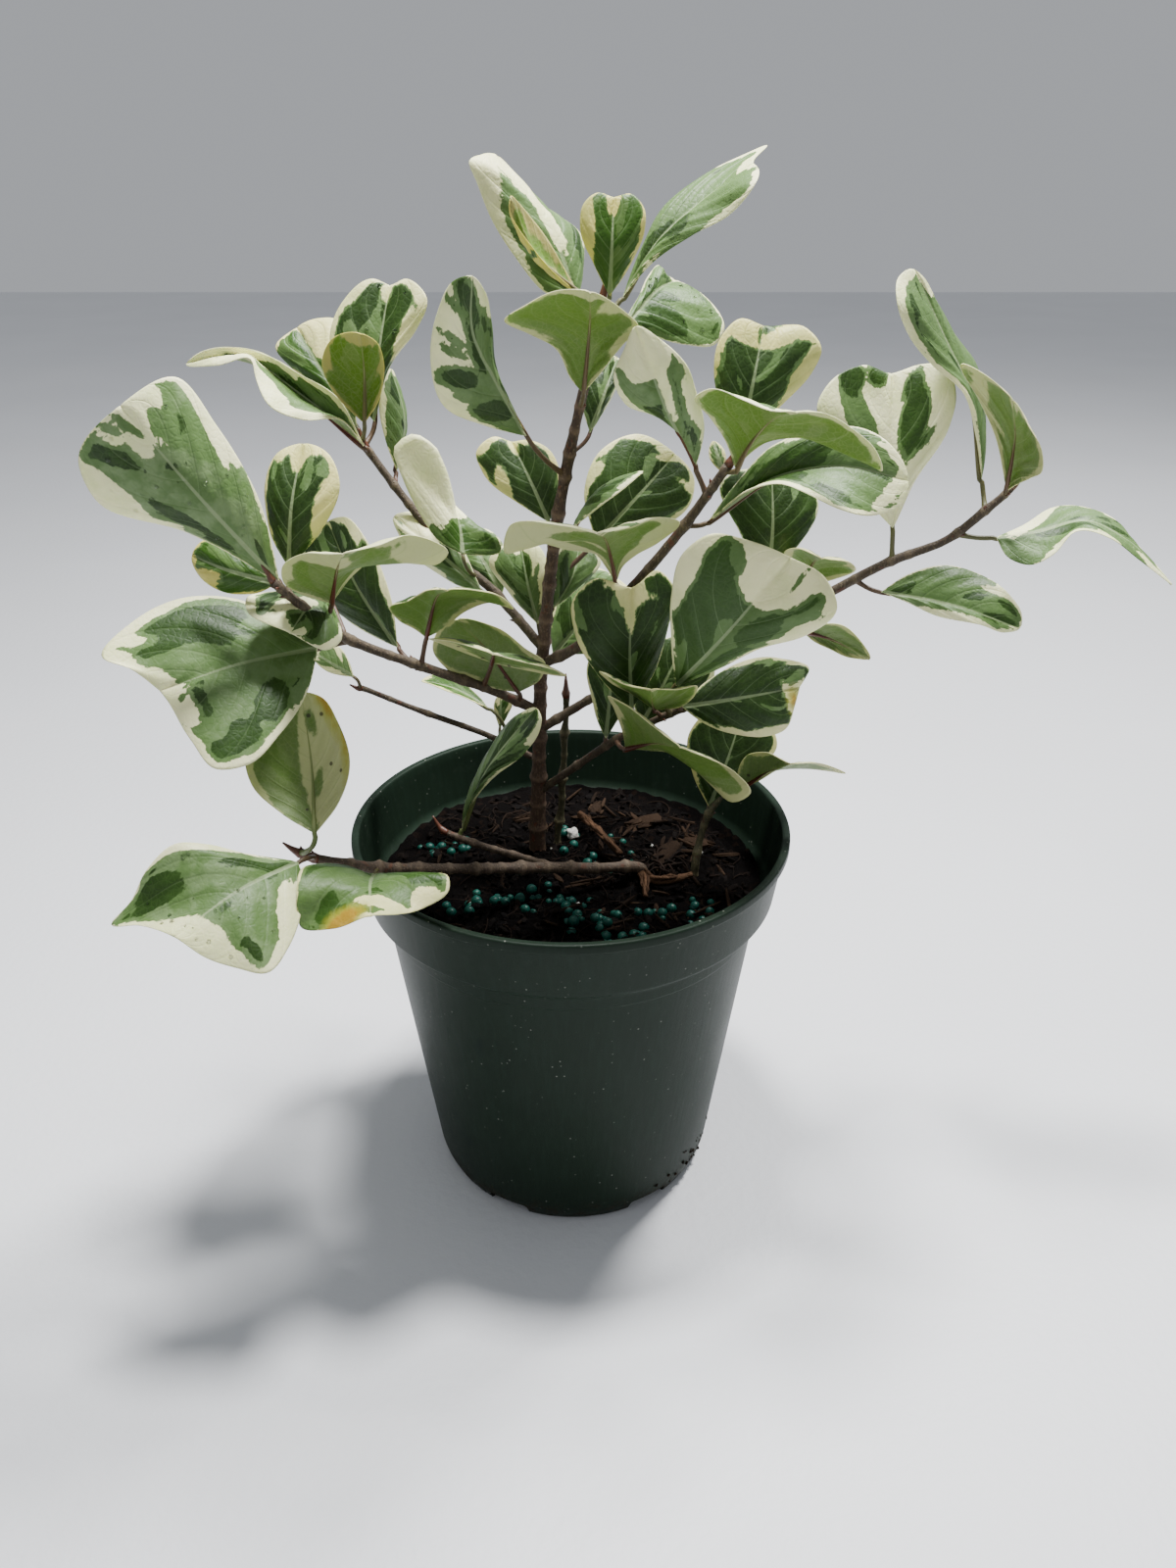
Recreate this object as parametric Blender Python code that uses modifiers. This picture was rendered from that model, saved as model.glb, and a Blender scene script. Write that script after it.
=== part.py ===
"""A potted triangle fig with cream-edged leaves, in a dark green plastic nursery pot.

The pot stands on z = 0 with its axis on Z. X runs to the right as the plant is seen from the front,
and Y runs away to the back. All places and sizes below are in millimetres, and MM turns them into metres.
"""
import math
import random

import bmesh
import bpy
from mathutils import Vector, noise

MM = 0.001
GAP = 0.3

# The pot, a 6.5 inch nursery pot
POT_HEIGHT = 151.0
RIM_RADIUS = 82.5
LIP_DEPTH = 3.6
BAND_FOOT_RADIUS = 77.9
BAND_FOOT_Z = 127.0
BODY_TOP_RADIUS = 71.4
BODY_TOP_Z = 117.0
BODY_FOOT_RADIUS = 57.2
FOOT_RADIUS = 53.0
WALL = 1.4
FLOOR = 1.8
POT_SIDES = 48
NOTCHES = 6
NOTCH_TURN = math.radians(-27)
NOTCH_WIDTH = 17.0
NOTCH_HEIGHT = 4.5

# The stems that stand in holes in the soil, beside the trunk
ROOTED = ("stem_low", "stem_green", "seedling")

# The soil and what lies on it
SOIL_Z = 126.0
SOIL_ROUGHNESS = 1.3
PLANTING_DEPTH = 14.0
BEAD_RADIUS = 2.1
BEAD_CLUSTERS = [
    (-52, 22, 5), (-38, -22, 6), (-24, -17, 5), (-8, -22, 7), (8, -32, 6), (18, -40, 5),
    (36, -28, 6), (4, 30, 5), (14, 12, 4), (52, -22, 3), (26, -56, 2),
]
BARK_CHIPS = [
    (30, 40, 20, 9, 3.5, 20), (50, 22, 16, 10, 3, -35), (38, 14, 24, 9, 4, 60), (58, -32, 7, 4, 3, 10),
    (-20, 44, 14, 6, 3, 35), (-40, -40, 15, 5, 2.5, -20), (10, 52, 12, 7, 3, 70), (-48, 2, 10, 6, 3, 50),
]
STICK = [(3, 40, 131.5), (8, 28, 133.0), (13, 17, 133.5), (19, 6, 132.5)]
STICK_RADIUS = 1.6

# Stems and leaves
STEM_SIDES = 8
STEM_SPACING = 14.0
BLADE_THICKNESS = 0.8
PETIOLE_RADIUS = 0.95
PETIOLE_SUNK = 4.0
LARGE_LEAF = 42.0
SMALL_LEAF = 27.0
LARGE_GRID = (4, 9)
MIDDLE_GRID = (2, 8)
SMALL_GRID = (2, 6)

# Each stem is its places, bottom to top, with its radius there. The last two make its pointed bud.
TRUNK = [
    (-14, 20, 112, 3.4), (-14, 20, 129, 3.4), (-13, 19, 156, 2.9), (-12, 17, 183, 2.5), (-11, 14, 204, 2.4),
    (-9, 11, 224, 2.2), (-7, 8, 243, 2.1), (-4, 4, 265, 2.0), (0, 0, 286, 1.8), (3, -3, 300, 1.6),
    (7, -4, 317, 1.5), (10, -3, 332, 1.3), (12, -2, 340, 1.0), (13, -1, 346, 0.4),
]
STEMS = {
    "branch_left": [
        (-14, 14, 191, 1.8), (-29, 6, 202, 1.8), (-52, -6, 216, 1.7), (-73, -18, 230, 1.6),
        (-84, -26, 243, 1.5), (-92, -32, 254, 1.3), (-94, -33, 258, 0.8), (-96, -34, 262, 0.3),
    ],
    "branch_upper_left": [
        (-11, 12, 217, 1.7), (-21, 14, 229, 1.7), (-29, 15, 238, 1.6), (-39, 17, 246, 1.6),
        (-52, 19, 261, 1.5), (-62, 21, 274, 1.4), (-69, 22, 284, 1.2), (-71, 22, 288, 0.8),
        (-72, 22, 292, 0.3),
    ],
    "branch_right": [
        (-10, 12, 210, 1.9), (3, 6, 219, 1.9), (15, 0, 235, 1.8), (26, -6, 250, 1.7), (38, -13, 268, 1.6),
        (49, -20, 287, 1.4), (51, -21, 291, 0.9), (52, -22, 295, 0.3),
    ],
    "branch_far_right": [
        (-12, 17, 181, 1.7), (12, 18, 196, 1.7), (42, 16, 213, 1.6), (70, 12, 226, 1.6), (91, 8, 238, 1.6),
        (109, 4, 250, 1.5), (127, 0, 259, 1.4), (138, -3, 270, 1.4), (144, -5, 277, 1.2), (147, -5, 281, 0.9),
        (149, -5, 284, 0.3),
    ],
    "branch_low_right": [
        (-13, 19, 153, 1.5), (6, 12, 171, 1.5), (17, 6, 182, 1.4), (30, -2, 193, 1.3), (41, -10, 202, 1.2),
        (45, -12, 204, 0.8), (48, -14, 206, 0.3),
    ],
    "branch_thin": [
        (-13, 21, 166, 1.2), (-32, 26, 174, 1.2), (-59, 24, 186, 1.1), (-77, 20, 196, 1.0),
        (-80, 19, 197, 0.8), (-83, 18, 199, 0.3),
    ],
    "stem_low": [
        (28, 2, 112, 1.9), (28, 2, 128, 1.9), (24, 0, 132, 1.9), (8, -7, 135, 1.9), (-10, -15, 139, 2.0),
        (-38, -29, 147, 1.9), (-66, -43, 156, 1.9), (-84, -49, 163, 1.6), (-91, -52, 168, 1.2),
        (-95, -53, 172, 0.3),
    ],
    "stem_green": [
        (-6, 24, 112, 1.3), (-6, 24, 129, 1.3), (-5, 25, 138, 1.5), (-4, 25, 147, 1.2), (-4, 25, 155, 1.5),
        (-3, 26, 165, 1.1), (-3, 26, 173, 1.4), (-2, 25, 183, 1.1), (-2, 25, 190, 1.2), (-2, 24, 196, 0.9),
        (-2, 24, 201, 0.3),
    ],
    "seedling": [
        (48, 1, 112, 1.5), (48, 1, 129, 1.5), (50, 5, 140, 1.4), (53, 7, 150, 1.4), (57, 8, 156, 1.2),
        (59, 9, 160, 0.8), (60, 9, 163, 0.3),
    ],
}
# The twig that leaves the low stem, lies over the soil and carries one slender leaf
LOW_TWIG = [
    (-6, -13, 138, 1.3), (-16, -9, 139, 1.3), (-33, -3, 141, 1.3), (-46, 1, 144, 1.2), (-50, 2, 146, 1.0),
    (-53, 3, 151, 0.3),
]


def leaf(number, base, tip, left, right, bow=4, cup=1.5, blunt=0.5, shoulder=0.5, wave=0, rib=None):
    """One leaf. Left and right are its sides, as one looks at its upper face with the tip up.

    Each side is a list of places on its edge, or one place, its lobe, which blunt and shoulder
    complete: blunt is 0 for a round end and 1 for a cut-off one, and shoulder 1 for full sides.
    bow is how far the midrib arches to the upper side where no place in rib says its way, and
    cup how far each half arches.
    """
    base, tip = Vector(base), Vector(tip)
    sides = {}
    for name, places in (("left", left), ("right", right)):
        places = [Vector(place) for place in (places if isinstance(places, list) else [places])]
        sides[name] = places if len(places) > 1 else lobe_edge(base, tip, places[0], blunt, shoulder)
    across = sides["right"][-1] - sides["left"][-1]
    upward = across.cross(tip - base).normalized()
    middle = [Vector(place) for place in rib] if rib else [base.lerp(tip, 0.5) + upward * bow]
    one = {"name": "leaf_%02d" % number, "upward": upward, "cup": cup, "wave": wave}
    one["rib"] = [2 * base - middle[0], base] + middle + [tip, 2 * tip - middle[-1]]
    for name, other in (("left", "right"), ("right", "left")):
        places = sides[name]
        one[name] = [2 * base - places[0], base] + places + [tip, sides[other][-1]]
    return one


def lobe_edge(base, tip, lobe, blunt, shoulder):
    """The places on a side's edge that its one lobe stands for."""
    chord = tip - base
    reach = min(0.9, max(0.4, (lobe - base).dot(chord) / chord.length_squared))
    out = lobe - base.lerp(tip, reach)
    near = base.lerp(tip, reach * 0.45) + out * (0.5 + 0.25 * shoulder)
    corner = base.lerp(tip, reach + (1 - reach) * (0.68 + 0.24 * blunt)) + out * (0.66 + 0.18 * blunt)
    return [near, lobe, corner]


LEAVES = {
    "trunk_crown": [
        leaf(18, (-13, -8, 295), (-27, -22, 343),
             [(-26, -11, 299), (-38, -15, 306), (-41, -18, 319), (-38, -20, 333), (-32, -21, 342)],
             [(-18, -10, 307), (-22, -12, 320), (-23, -14, 330), (-24, -19, 339)],
             rib=[(-21, -13, 311), (-28, -17, 327)]),
        leaf(20, (-7, 12, 262), (-20, 24, 287),
             [(-18, 15, 268), (-30, 19, 278), (-32, 20, 284), (-26, 22, 289)],
             [(-4, 15, 270), (-3, 18, 277), (-7, 21, 285), (-14, 22, 288)], bow=2),
        leaf(23, (9, 16, 254), (37, 28, 282), (10, 24, 283), (43, 22, 267), shoulder=1, blunt=0.3),
        leaf(24, (1, -3, 264), (24, -9, 284), (11, 6, 272), (9, -14, 273), shoulder=0.8, blunt=0),
        leaf(25, (3, 2, 334), (-21, 8, 374),
             [(-7, -2, 337), (-15, -3, 346), (-22, -4, 357), (-26, -5, 367), (-28, -6, 372), (-25, 0, 374)],
             [(5, 9, 341), (4, 20, 352), (-8, 22, 359), (-15, 15, 367)]),
        leaf(26, (4, -5, 336), (-16, -14, 363), (-9, -2, 356), (-14, -14, 355), blunt=0),
        leaf(27, (13, -5, 336), (14, -3, 363),
             [(8, -5, 345), (4, -6, 355), (5, -5, 361), (9, -4, 364)],
             [(19, -5, 345), (23, -6, 354), (23, -5, 360), (19, -4, 364)], bow=3),
        leaf(28, (17, 2, 335), (56, 8, 372),
             [(23, 7, 348), (30, 11, 360), (43, 16, 369), (54, 20, 374), (61, 22, 377)],
             [(27, 0, 346), (38, -2, 353), (49, -4, 359), (55, -6, 366), (57, 2, 370)],
             rib=[(29, 4, 352), (41, 6, 362)]),
        leaf(29, (18, 10, 326), (36, 42, 337),
             [(22, 20, 333), (26, 30, 339), (30, 36, 342), (32, 39, 339)],
             [(28, 16, 322), (38, 21, 319), (50, 28, 319), (52, 30, 322), (45, 37, 333)]),
        leaf(30, (5, -8, 308), (7, -36, 340),
             [(7, -10, 311), (11, -14, 316), (17, -21, 324), (21, -26, 330), (17, -29, 334), (13, -32, 337)],
             [(1, -11, 313), (-3, -15, 322), (-11, -20, 327), (-18, -24, 331), (-11, -28, 336),
              (-2, -32, 340)],
             bow=7),
        leaf(31, (7, 2, 294), (16, 14, 316), (5, 8, 309), (17, 10, 310), blunt=0.2),
        leaf(53, (-12, 20, 222), (-18, 28, 250), (-29, 24, 246), (-8, 22, 244)),
        leaf(54, (-6, 12, 231), (3, 22, 250), (-5, 10, 251), (11, 18, 247)),
        leaf(61, (-7, 30, 206), (17, 42, 233), (-3, 38, 230), (25, 36, 215), shoulder=0.8),
    ],
    "branch_left": [
        leaf(6, (-91, -31, 254), (-126, -46, 311),
             [(-117, -36, 272), (-140, -41, 283), (-142, -43, 294)],
             [(-95, -33, 285), (-103, -34, 303), (-112, -35, 317)]),
        leaf(7, (-89, -26, 257), (-83, -14, 294), (-95, -20, 283), (-71, -22, 284), blunt=0.2, shoulder=0.7),
        leaf(9, (-92, -31, 254), (-120, -24, 261), (-110, -28, 250),
             (-111, -24, 266), shoulder=0.8, blunt=0.2),
        leaf(10, (-77, -24, 245), (-66, -52, 270),
             [(-68, -28, 256), (-59, -32, 263), (-39, -38, 263), (-36, -41, 267), (-47, -43, 273),
              (-56, -48, 271)],
             [(-81, -26, 247), (-89, -33, 254), (-88, -38, 261), (-79, -46, 268)], bow=3),
        leaf(11, (-60, -4, 222), (-84, 14, 262), (-93, 10, 245), (-67, 2, 255), shoulder=0.8),
        leaf(12, (-83, -8, 243), (-88, -38, 240), (-74, -30, 234), (-103, -28, 248), blunt=0.9),
        leaf(13, (-84, -20, 228), (-132, -40, 221),
             [(-87, -29, 217), (-94, -41, 206), (-104, -49, 199), (-114, -52, 199), (-122, -48, 207)],
             [(-95, -17, 235), (-108, -15, 243), (-126, -17, 245), (-142, -26, 239), (-150, -36, 231),
              (-140, -39, 228)]),
        leaf(51, (-49, -10, 228), (-37, -40, 255),
             [(-43, -13, 232), (-34, -17, 240), (-25, -21, 244), (-18, -24, 243), (-21, -28, 249),
              (-29, -34, 253)],
             [(-52, -13, 232), (-57, -19, 238), (-59, -22, 243), (-51, -28, 247), (-43, -35, 253)], bow=6),
        leaf(52, (-19, 8, 200), (-39, -2, 232),
             [(-11, 6, 206), (-9, 4, 213), (-16, 3, 219), (-26, 0, 228)],
             [(-28, 5, 203), (-44, -1, 213), (-48, -4, 222), (-45, -3, 229)]),
        leaf(62, (-27, -8, 218), (-24, -38, 233), (-1, -30, 222), (-46, -26, 234), bow=2),
    ],
    "branch_upper_left": [
        leaf(1, (-70, 20, 286), (-125, 14, 314),
             [(-76, 14, 296), (-87, 7, 297), (-96, 0, 303), (-100, 4, 311), (-101, 6, 316), (-114, 10, 314)],
             [(-77, 17, 302), (-88, 14, 310), (-97, 14, 316), (-109, 14, 319), (-121, 14, 317)],
             rib=[(-89, 18, 303), (-104, 16, 314), (-114, 15, 316)]),
        leaf(2, (-73, 26, 291), (-94, 42, 322),
             [(-85, 31, 301), (-96, 36, 310), (-101, 38, 316)],
             [(-76, 32, 305), (-77, 37, 319), (-80, 40, 325), (-86, 41, 325)]),
        leaf(3, (-67, 26, 293), (-60, 36, 336),
             [(-78, 28, 309), (-80, 30, 322), (-76, 32, 331), (-65, 35, 338)],
             [(-61, 28, 310), (-51, 29, 323), (-47, 30, 332), (-54, 34, 338)]),
        leaf(4, (-69, 18, 294), (-66, 8, 324), (-60, 12, 315), (-80, 12, 315), blunt=0.2, shoulder=0.9),
        leaf(5, (-61, 28, 276), (-62, 38, 309), (-65, 26, 297), (-61, 44, 294), blunt=0.1),
        leaf(19, (-37, 8, 252), (-41, 20, 267),
             [(-45, 9, 256), (-51, 10, 265), (-57, 11, 279), (-59, 12, 287), (-52, 12, 292), (-45, 14, 287),
              (-43, 17, 277)],
             [(-31, 10, 251), (-24, 12, 252), (-24, 12, 255), (-31, 15, 259)], bow=1),
        leaf(58, (-31, 12, 237), (-62, 20, 262), (-49, 14, 244), (-46, 22, 259), blunt=0.1),
        leaf(59, (-25, 24, 232), (-39, 38, 251), (-42, 32, 242), (-25, 36, 247)),
    ],
    "branch_right": [
        leaf(22, (16, -6, 246), (9, -40, 273),
             [(18, -10, 253), (22, -14, 258), (29, -20, 264), (35, -26, 272), (29, -29, 274),
              (18, -35, 273)],
             [(12, -9, 253), (9, -13, 258), (0, -18, 261), (-10, -24, 265), (-20, -30, 264), (-18, -32, 273),
              (-2, -37, 274)], bow=6),
        leaf(32, (40, -18, 287), (20, -28, 330),
             [(37, -20, 299), (28, -22, 304), (18, -24, 308), (14, -26, 316), (17, -27, 324)],
             [(42, -22, 300), (39, -26, 311), (35, -30, 320), (28, -29, 326)]),
        leaf(33, (54, -16, 295), (60, -8, 328),
             [(48, -15, 304), (45, -13, 314), (46, -12, 324), (52, -10, 330)],
             [(66, -15, 306), (75, -14, 316), (77, -14, 322), (72, -12, 328)]),
        leaf(34, (52, -24, 288), (64, -56, 311),
             [(55, -27, 293), (61, -30, 298), (72, -35, 300), (82, -40, 299), (92, -46, 293), (89, -48, 299),
              (80, -51, 306), (72, -54, 310)],
             [(47, -32, 299), (42, -38, 306), (37, -44, 313), (40, -46, 315), (50, -50, 313),
              (57, -53, 311)],
             rib=[(55, -35, 299), (60, -46, 308)]),
        leaf(35, (45, -14, 269), (103, -34, 287),
             [(53, -17, 282), (63, -19, 294), (76, -22, 300), (88, -24, 301), (97, -29, 297)],
             [(57, -24, 282), (65, -30, 285), (73, -35, 283), (82, -42, 280), (95, -38, 278),
              (102, -36, 281)],
             rib=[(67, -22, 286), (84, -28, 290)]),
        leaf(64, (49, -14, 285), (46, -10, 294), (45, -12, 289), (50, -12, 290), bow=1, cup=0, blunt=0),
    ],
    "branch_far_right": [
        leaf(36, (110, 4, 262), (106, 14, 311),
             [(95, 5, 277), (83, 6, 294), (81, 6, 302), (86, 9, 310), (96, 11, 314)],
             [(115, 5, 275), (125, 7, 296), (126, 8, 306), (122, 10, 314), (115, 12, 314)]),
        leaf(37, (69, 4, 245), (69, 14, 279), (52, 10, 277), (85, 10, 270)),
        leaf(38, (137, 2, 279), (107, 4, 343),
             [(132, 0, 294), (125, -3, 308), (114, -4, 316), (105, -6, 325), (100, -8, 334), (101, -1, 341)],
             [(138, 6, 288), (137, 12, 300), (134, 18, 314), (125, 14, 323), (116, 9, 334), (110, 5, 341)],
             rib=[(129, 3, 307), (119, 3, 323)]),
        leaf(39, (143, -6, 277), (134, -24, 309),
             [(144, -10, 280), (146, -17, 284), (147, -22, 287), (146, -22, 293), (141, -23, 301)],
             [(140, -8, 284), (135, -11, 295), (127, -14, 307), (119, -18, 318), (126, -21, 315)]),
        leaf(40, (143, -3, 261), (199, -16, 249),
             [(154, 2, 264), (163, 4, 269), (172, 4, 270), (183, 0, 267), (189, -6, 259), (195, -12, 253)],
             [(146, -10, 256), (152, -14, 255), (158, -16, 259), (164, -16, 266), (175, -16, 264),
              (187, -17, 257)],
             rib=[(156, -6, 264), (169, -8, 268), (184, -11, 262)], cup=0.5),
        leaf(41, (108, 3, 240), (153, -12, 232),
             [(117, 3, 246), (129, 2, 250), (141, 2, 247), (150, -5, 242), (154, -9, 236)],
             [(115, -1, 238), (126, -7, 235), (139, -14, 234), (148, -13, 231)]),
        leaf(42, (85, 18, 220), (113, 26, 206), (98, 24, 210), (99, 22, 221), blunt=0, shoulder=0.8),
        leaf(43, (82, 12, 239), (84, -10, 256), (97, -4, 250), (73, -2, 256)),
    ],
    "branch_low_right": [
        leaf(44, (36, -22, 215), (69, -36, 264),
             [(34, -26, 231), (33, -30, 250), (36, -34, 265), (44, -35, 271), (56, -35, 269)],
             [(48, -26, 222), (62, -31, 232), (76, -36, 239), (84, -40, 249), (80, -38, 258)]),
        leaf(45, (22, -8, 200), (21, -10, 246),
             [(10, -9, 214), (2, -10, 230), (1, -10, 241), (9, -10, 249)],
             [(30, -11, 217), (34, -14, 236), (35, -16, 248), (30, -14, 253)]),
        leaf(46, (39, -14, 204), (81, -8, 209),
             [(47, -11, 212), (59, -8, 218), (73, -4, 218), (84, -6, 215)],
             [(46, -15, 199), (56, -16, 195), (68, -18, 194), (76, -15, 196), (79, -11, 203)]),
        leaf(47, (30, -10, 201), (27, -36, 220),
             [(38, -17, 205), (43, -23, 213), (43, -26, 217), (36, -31, 218)],
             [(22, -15, 209), (14, -21, 216), (10, -24, 221), (18, -30, 219)], bow=-2),
        leaf(48, (20, -4, 183), (37, -42, 202),
             [(29, -8, 184), (38, -13, 185), (50, -21, 178), (58, -26, 173), (63, -28, 177), (57, -32, 187),
              (47, -37, 195)],
             [(19, -9, 191), (15, -18, 205), (13, -22, 211), (20, -27, 210), (28, -34, 206)], bow=2),
        leaf(60, (26, 4, 189), (42, 12, 220), (24, 8, 206), (52, 8, 206), shoulder=0.8),
        leaf(65, (13, 8, 181), (16, 14, 218), (6, 12, 209), (26, 12, 209), shoulder=0.4),
    ],
    "branch_thin": [
        leaf(55, (-32, 24, 187), (-58, 32, 195), (-46, 22, 194), (-46, 36, 195), bow=2, cup=0, blunt=0),
        leaf(56, (-28, 26, 177), (-27, 30, 190), (-30, 28, 187), (-23, 28, 188), bow=1, cup=0, blunt=0),
        leaf(57, (-81, 18, 202), (-97, 24, 210), (-92, 20, 204), (-87, 24, 212), bow=1, cup=0, blunt=0.1),
    ],
    "stem_low": [
        leaf(14, (-83, -56, 177), (-85, -44, 223),
             [(-75, -55, 187), (-70, -54, 204), (-73, -50, 215), (-78, -46, 223)],
             [(-94, -54, 184), (-103, -52, 192), (-105, -50, 202), (-101, -48, 213), (-94, -46, 221)]),
        leaf(15, (-88, -62, 170), (-119, -96, 164),
             [(-85, -69, 165), (-85, -78, 160), (-87, -88, 155), (-92, -98, 152), (-100, -97, 153),
              (-110, -97, 157)],
             [(-103, -67, 176), (-113, -71, 182), (-122, -74, 184), (-131, -78, 177), (-137, -81, 167),
              (-143, -84, 161), (-131, -90, 164)]),
        leaf(16, (-66, -50, 158), (-61, -86, 165),
             [(-57, -56, 161), (-48, -62, 165), (-38, -70, 168), (-38, -72, 166), (-46, -77, 162),
              (-53, -82, 163)],
             [(-72, -50, 158), (-77, -54, 164), (-82, -60, 168), (-86, -66, 170), (-86, -76, 166),
              (-85, -79, 156),
              (-74, -83, 158)], bow=3),
        leaf(17, (-42, 1, 146), (-12, -8, 201),
             [(-40, 2, 157), (-34, 4, 171), (-25, 6, 187), (-18, -2, 196)],
             [(-37, -2, 159), (-27, -7, 174), (-16, -11, 185), (-11, -14, 194), (-10, -16, 200)]),
    ],
    "seedling": [
        leaf(49, (53, 8, 152), (65, 18, 187), (45, 14, 181), (78, 12, 178), shoulder=0.6),
        leaf(50, (65, 8, 160), (79, -14, 182),
             [(71, 5, 165), (78, 1, 172), (88, -4, 175), (100, -10, 176), (90, -12, 181)],
             [(63, 6, 168), (65, 4, 175), (71, -3, 181)], bow=2),
    ],
}

# Colour, roughness and metallic value of each finish
FINISHES = {
    "plastic": ((0.020, 0.042, 0.028), 0.45, 0.0),
    "mix": ((0.016, 0.011, 0.009), 0.9, 0.0),
    "wood": ((0.16, 0.085, 0.045), 0.8, 0.0),
    "leaf": ((0.16, 0.26, 0.10), 0.4, 0.0),
}


def give_material(made, finish):
    """Give an object a Principled material of its own."""
    colour, roughness, metallic = FINISHES[finish]
    own = bpy.data.materials.new(made.name + "_" + finish)
    own.use_nodes = True
    shader = own.node_tree.nodes["Principled BSDF"]
    shader.inputs["Base Color"].default_value = (*colour, 1.0)
    shader.inputs["Roughness"].default_value = roughness
    shader.inputs["Metallic"].default_value = metallic
    made.data.materials.clear()
    made.data.materials.append(own)


def new_object(name, mesh, collection):
    """An object for a mesh, in a collection."""
    made = bpy.data.objects.new(name, mesh)
    collection.objects.link(made)
    return made


def baked(source, name, collection):
    """A mesh object of what a curve or a modified object evaluates to. The source is removed."""
    graph = bpy.context.evaluated_depsgraph_get()
    mesh = bpy.data.meshes.new_from_object(source.evaluated_get(graph))
    made = new_object(name, mesh, collection)
    made.matrix_world = source.matrix_world.copy()
    bpy.data.objects.remove(source)
    made.name = name
    work = bmesh.new()
    work.from_mesh(mesh)
    bmesh.ops.remove_doubles(work, verts=work.verts, dist=1e-7)
    bmesh.ops.recalc_face_normals(work, faces=work.faces)
    work.to_mesh(mesh)
    work.free()
    return made


def turned(name, profile, collection):
    """A turned solid: its profile, in millimetres, runs from the axis round the section to the axis."""
    mesh = bpy.data.meshes.new(name)
    points = [(radius * MM, 0, height * MM) for radius, height in profile]
    mesh.from_pydata(points, [(i, i + 1) for i in range(len(points) - 1)], [])
    made = new_object(name, mesh, collection)
    screw = made.modifiers.new("turn", "SCREW")
    screw.steps = POT_SIDES
    screw.render_steps = POT_SIDES
    screw.use_merge_vertices = True
    screw.merge_threshold = 1e-5
    return baked(made, name, collection)


def smooth_path(places, spacing):
    """Points on a smooth curve through the places (x, y, z, radius), about a spacing apart."""
    rows = [Vector(place) for place in places]
    rows = [2 * rows[0] - rows[1]] + rows + [2 * rows[-1] - rows[-2]]
    points = []
    for before, start, end, after in zip(rows, rows[1:], rows[2:], rows[3:]):
        count = max(1, round((end - start).length / spacing))
        for step in range(count):
            t = step / count
            points.append(0.5 * (2 * start + (end - before) * t
                                 + (2 * before - 5 * start + 4 * end - after) * t * t
                                 + (3 * start - before - 3 * end + after) * t * t * t))
    points.append(rows[-2])
    return points


def tube(name, points, sides, collection):
    """A round tube with closed ends through points (x, y, z, radius)."""
    curve = bpy.data.curves.new(name, "CURVE")
    curve.dimensions = "3D"
    curve.bevel_depth = MM
    curve.bevel_resolution = (sides - 4) // 2
    curve.use_fill_caps = True
    spline = curve.splines.new("POLY")
    spline.points.add(len(points) - 1)
    for point, (x, y, z, radius) in zip(spline.points, points):
        point.co = (x * MM, y * MM, z * MM, 1)
        point.radius = radius
    made = new_object(name, curve, collection)
    bpy.context.view_layer.update()
    return baked(made, name, collection)


def joined(target, pieces, collection):
    """Unite pieces with the target by one Boolean."""
    group = bpy.data.collections.new("joining_" + target.name)
    bpy.context.scene.collection.children.link(group)
    for piece in pieces:
        group.objects.link(piece)
    union = target.modifiers.new("union", "BOOLEAN")
    union.operation = "UNION"
    union.operand_type = "COLLECTION"
    union.collection = group
    union.solver = "EXACT"
    bpy.context.view_layer.update()
    name = target.name
    made = baked(target, name, collection)
    for piece in pieces:
        bpy.data.objects.remove(piece)
    bpy.data.collections.remove(group)
    return made


def cut(target, cutters):
    """Take the cutters out of the target. They stay as hidden wires."""
    for number, cutter in enumerate(cutters):
        hole = target.modifiers.new("cut_%d" % number, "BOOLEAN")
        hole.operation = "DIFFERENCE"
        hole.object = cutter
        hole.solver = "EXACT"
        cutter.hide_render = True
        cutter.display_type = "WIRE"


def cylinder(name, place, radius, height, sides, collection):
    """An upright cylinder on a place, in millimetres."""
    mesh = bpy.data.meshes.new(name)
    work = bmesh.new()
    bmesh.ops.create_cone(work, cap_ends=True, segments=sides, radius1=radius * MM, radius2=radius * MM,
                          depth=height * MM)
    work.to_mesh(mesh)
    work.free()
    made = new_object(name, mesh, collection)
    made.location = Vector((place[0], place[1], place[2] + height / 2)) * MM
    return made


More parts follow.
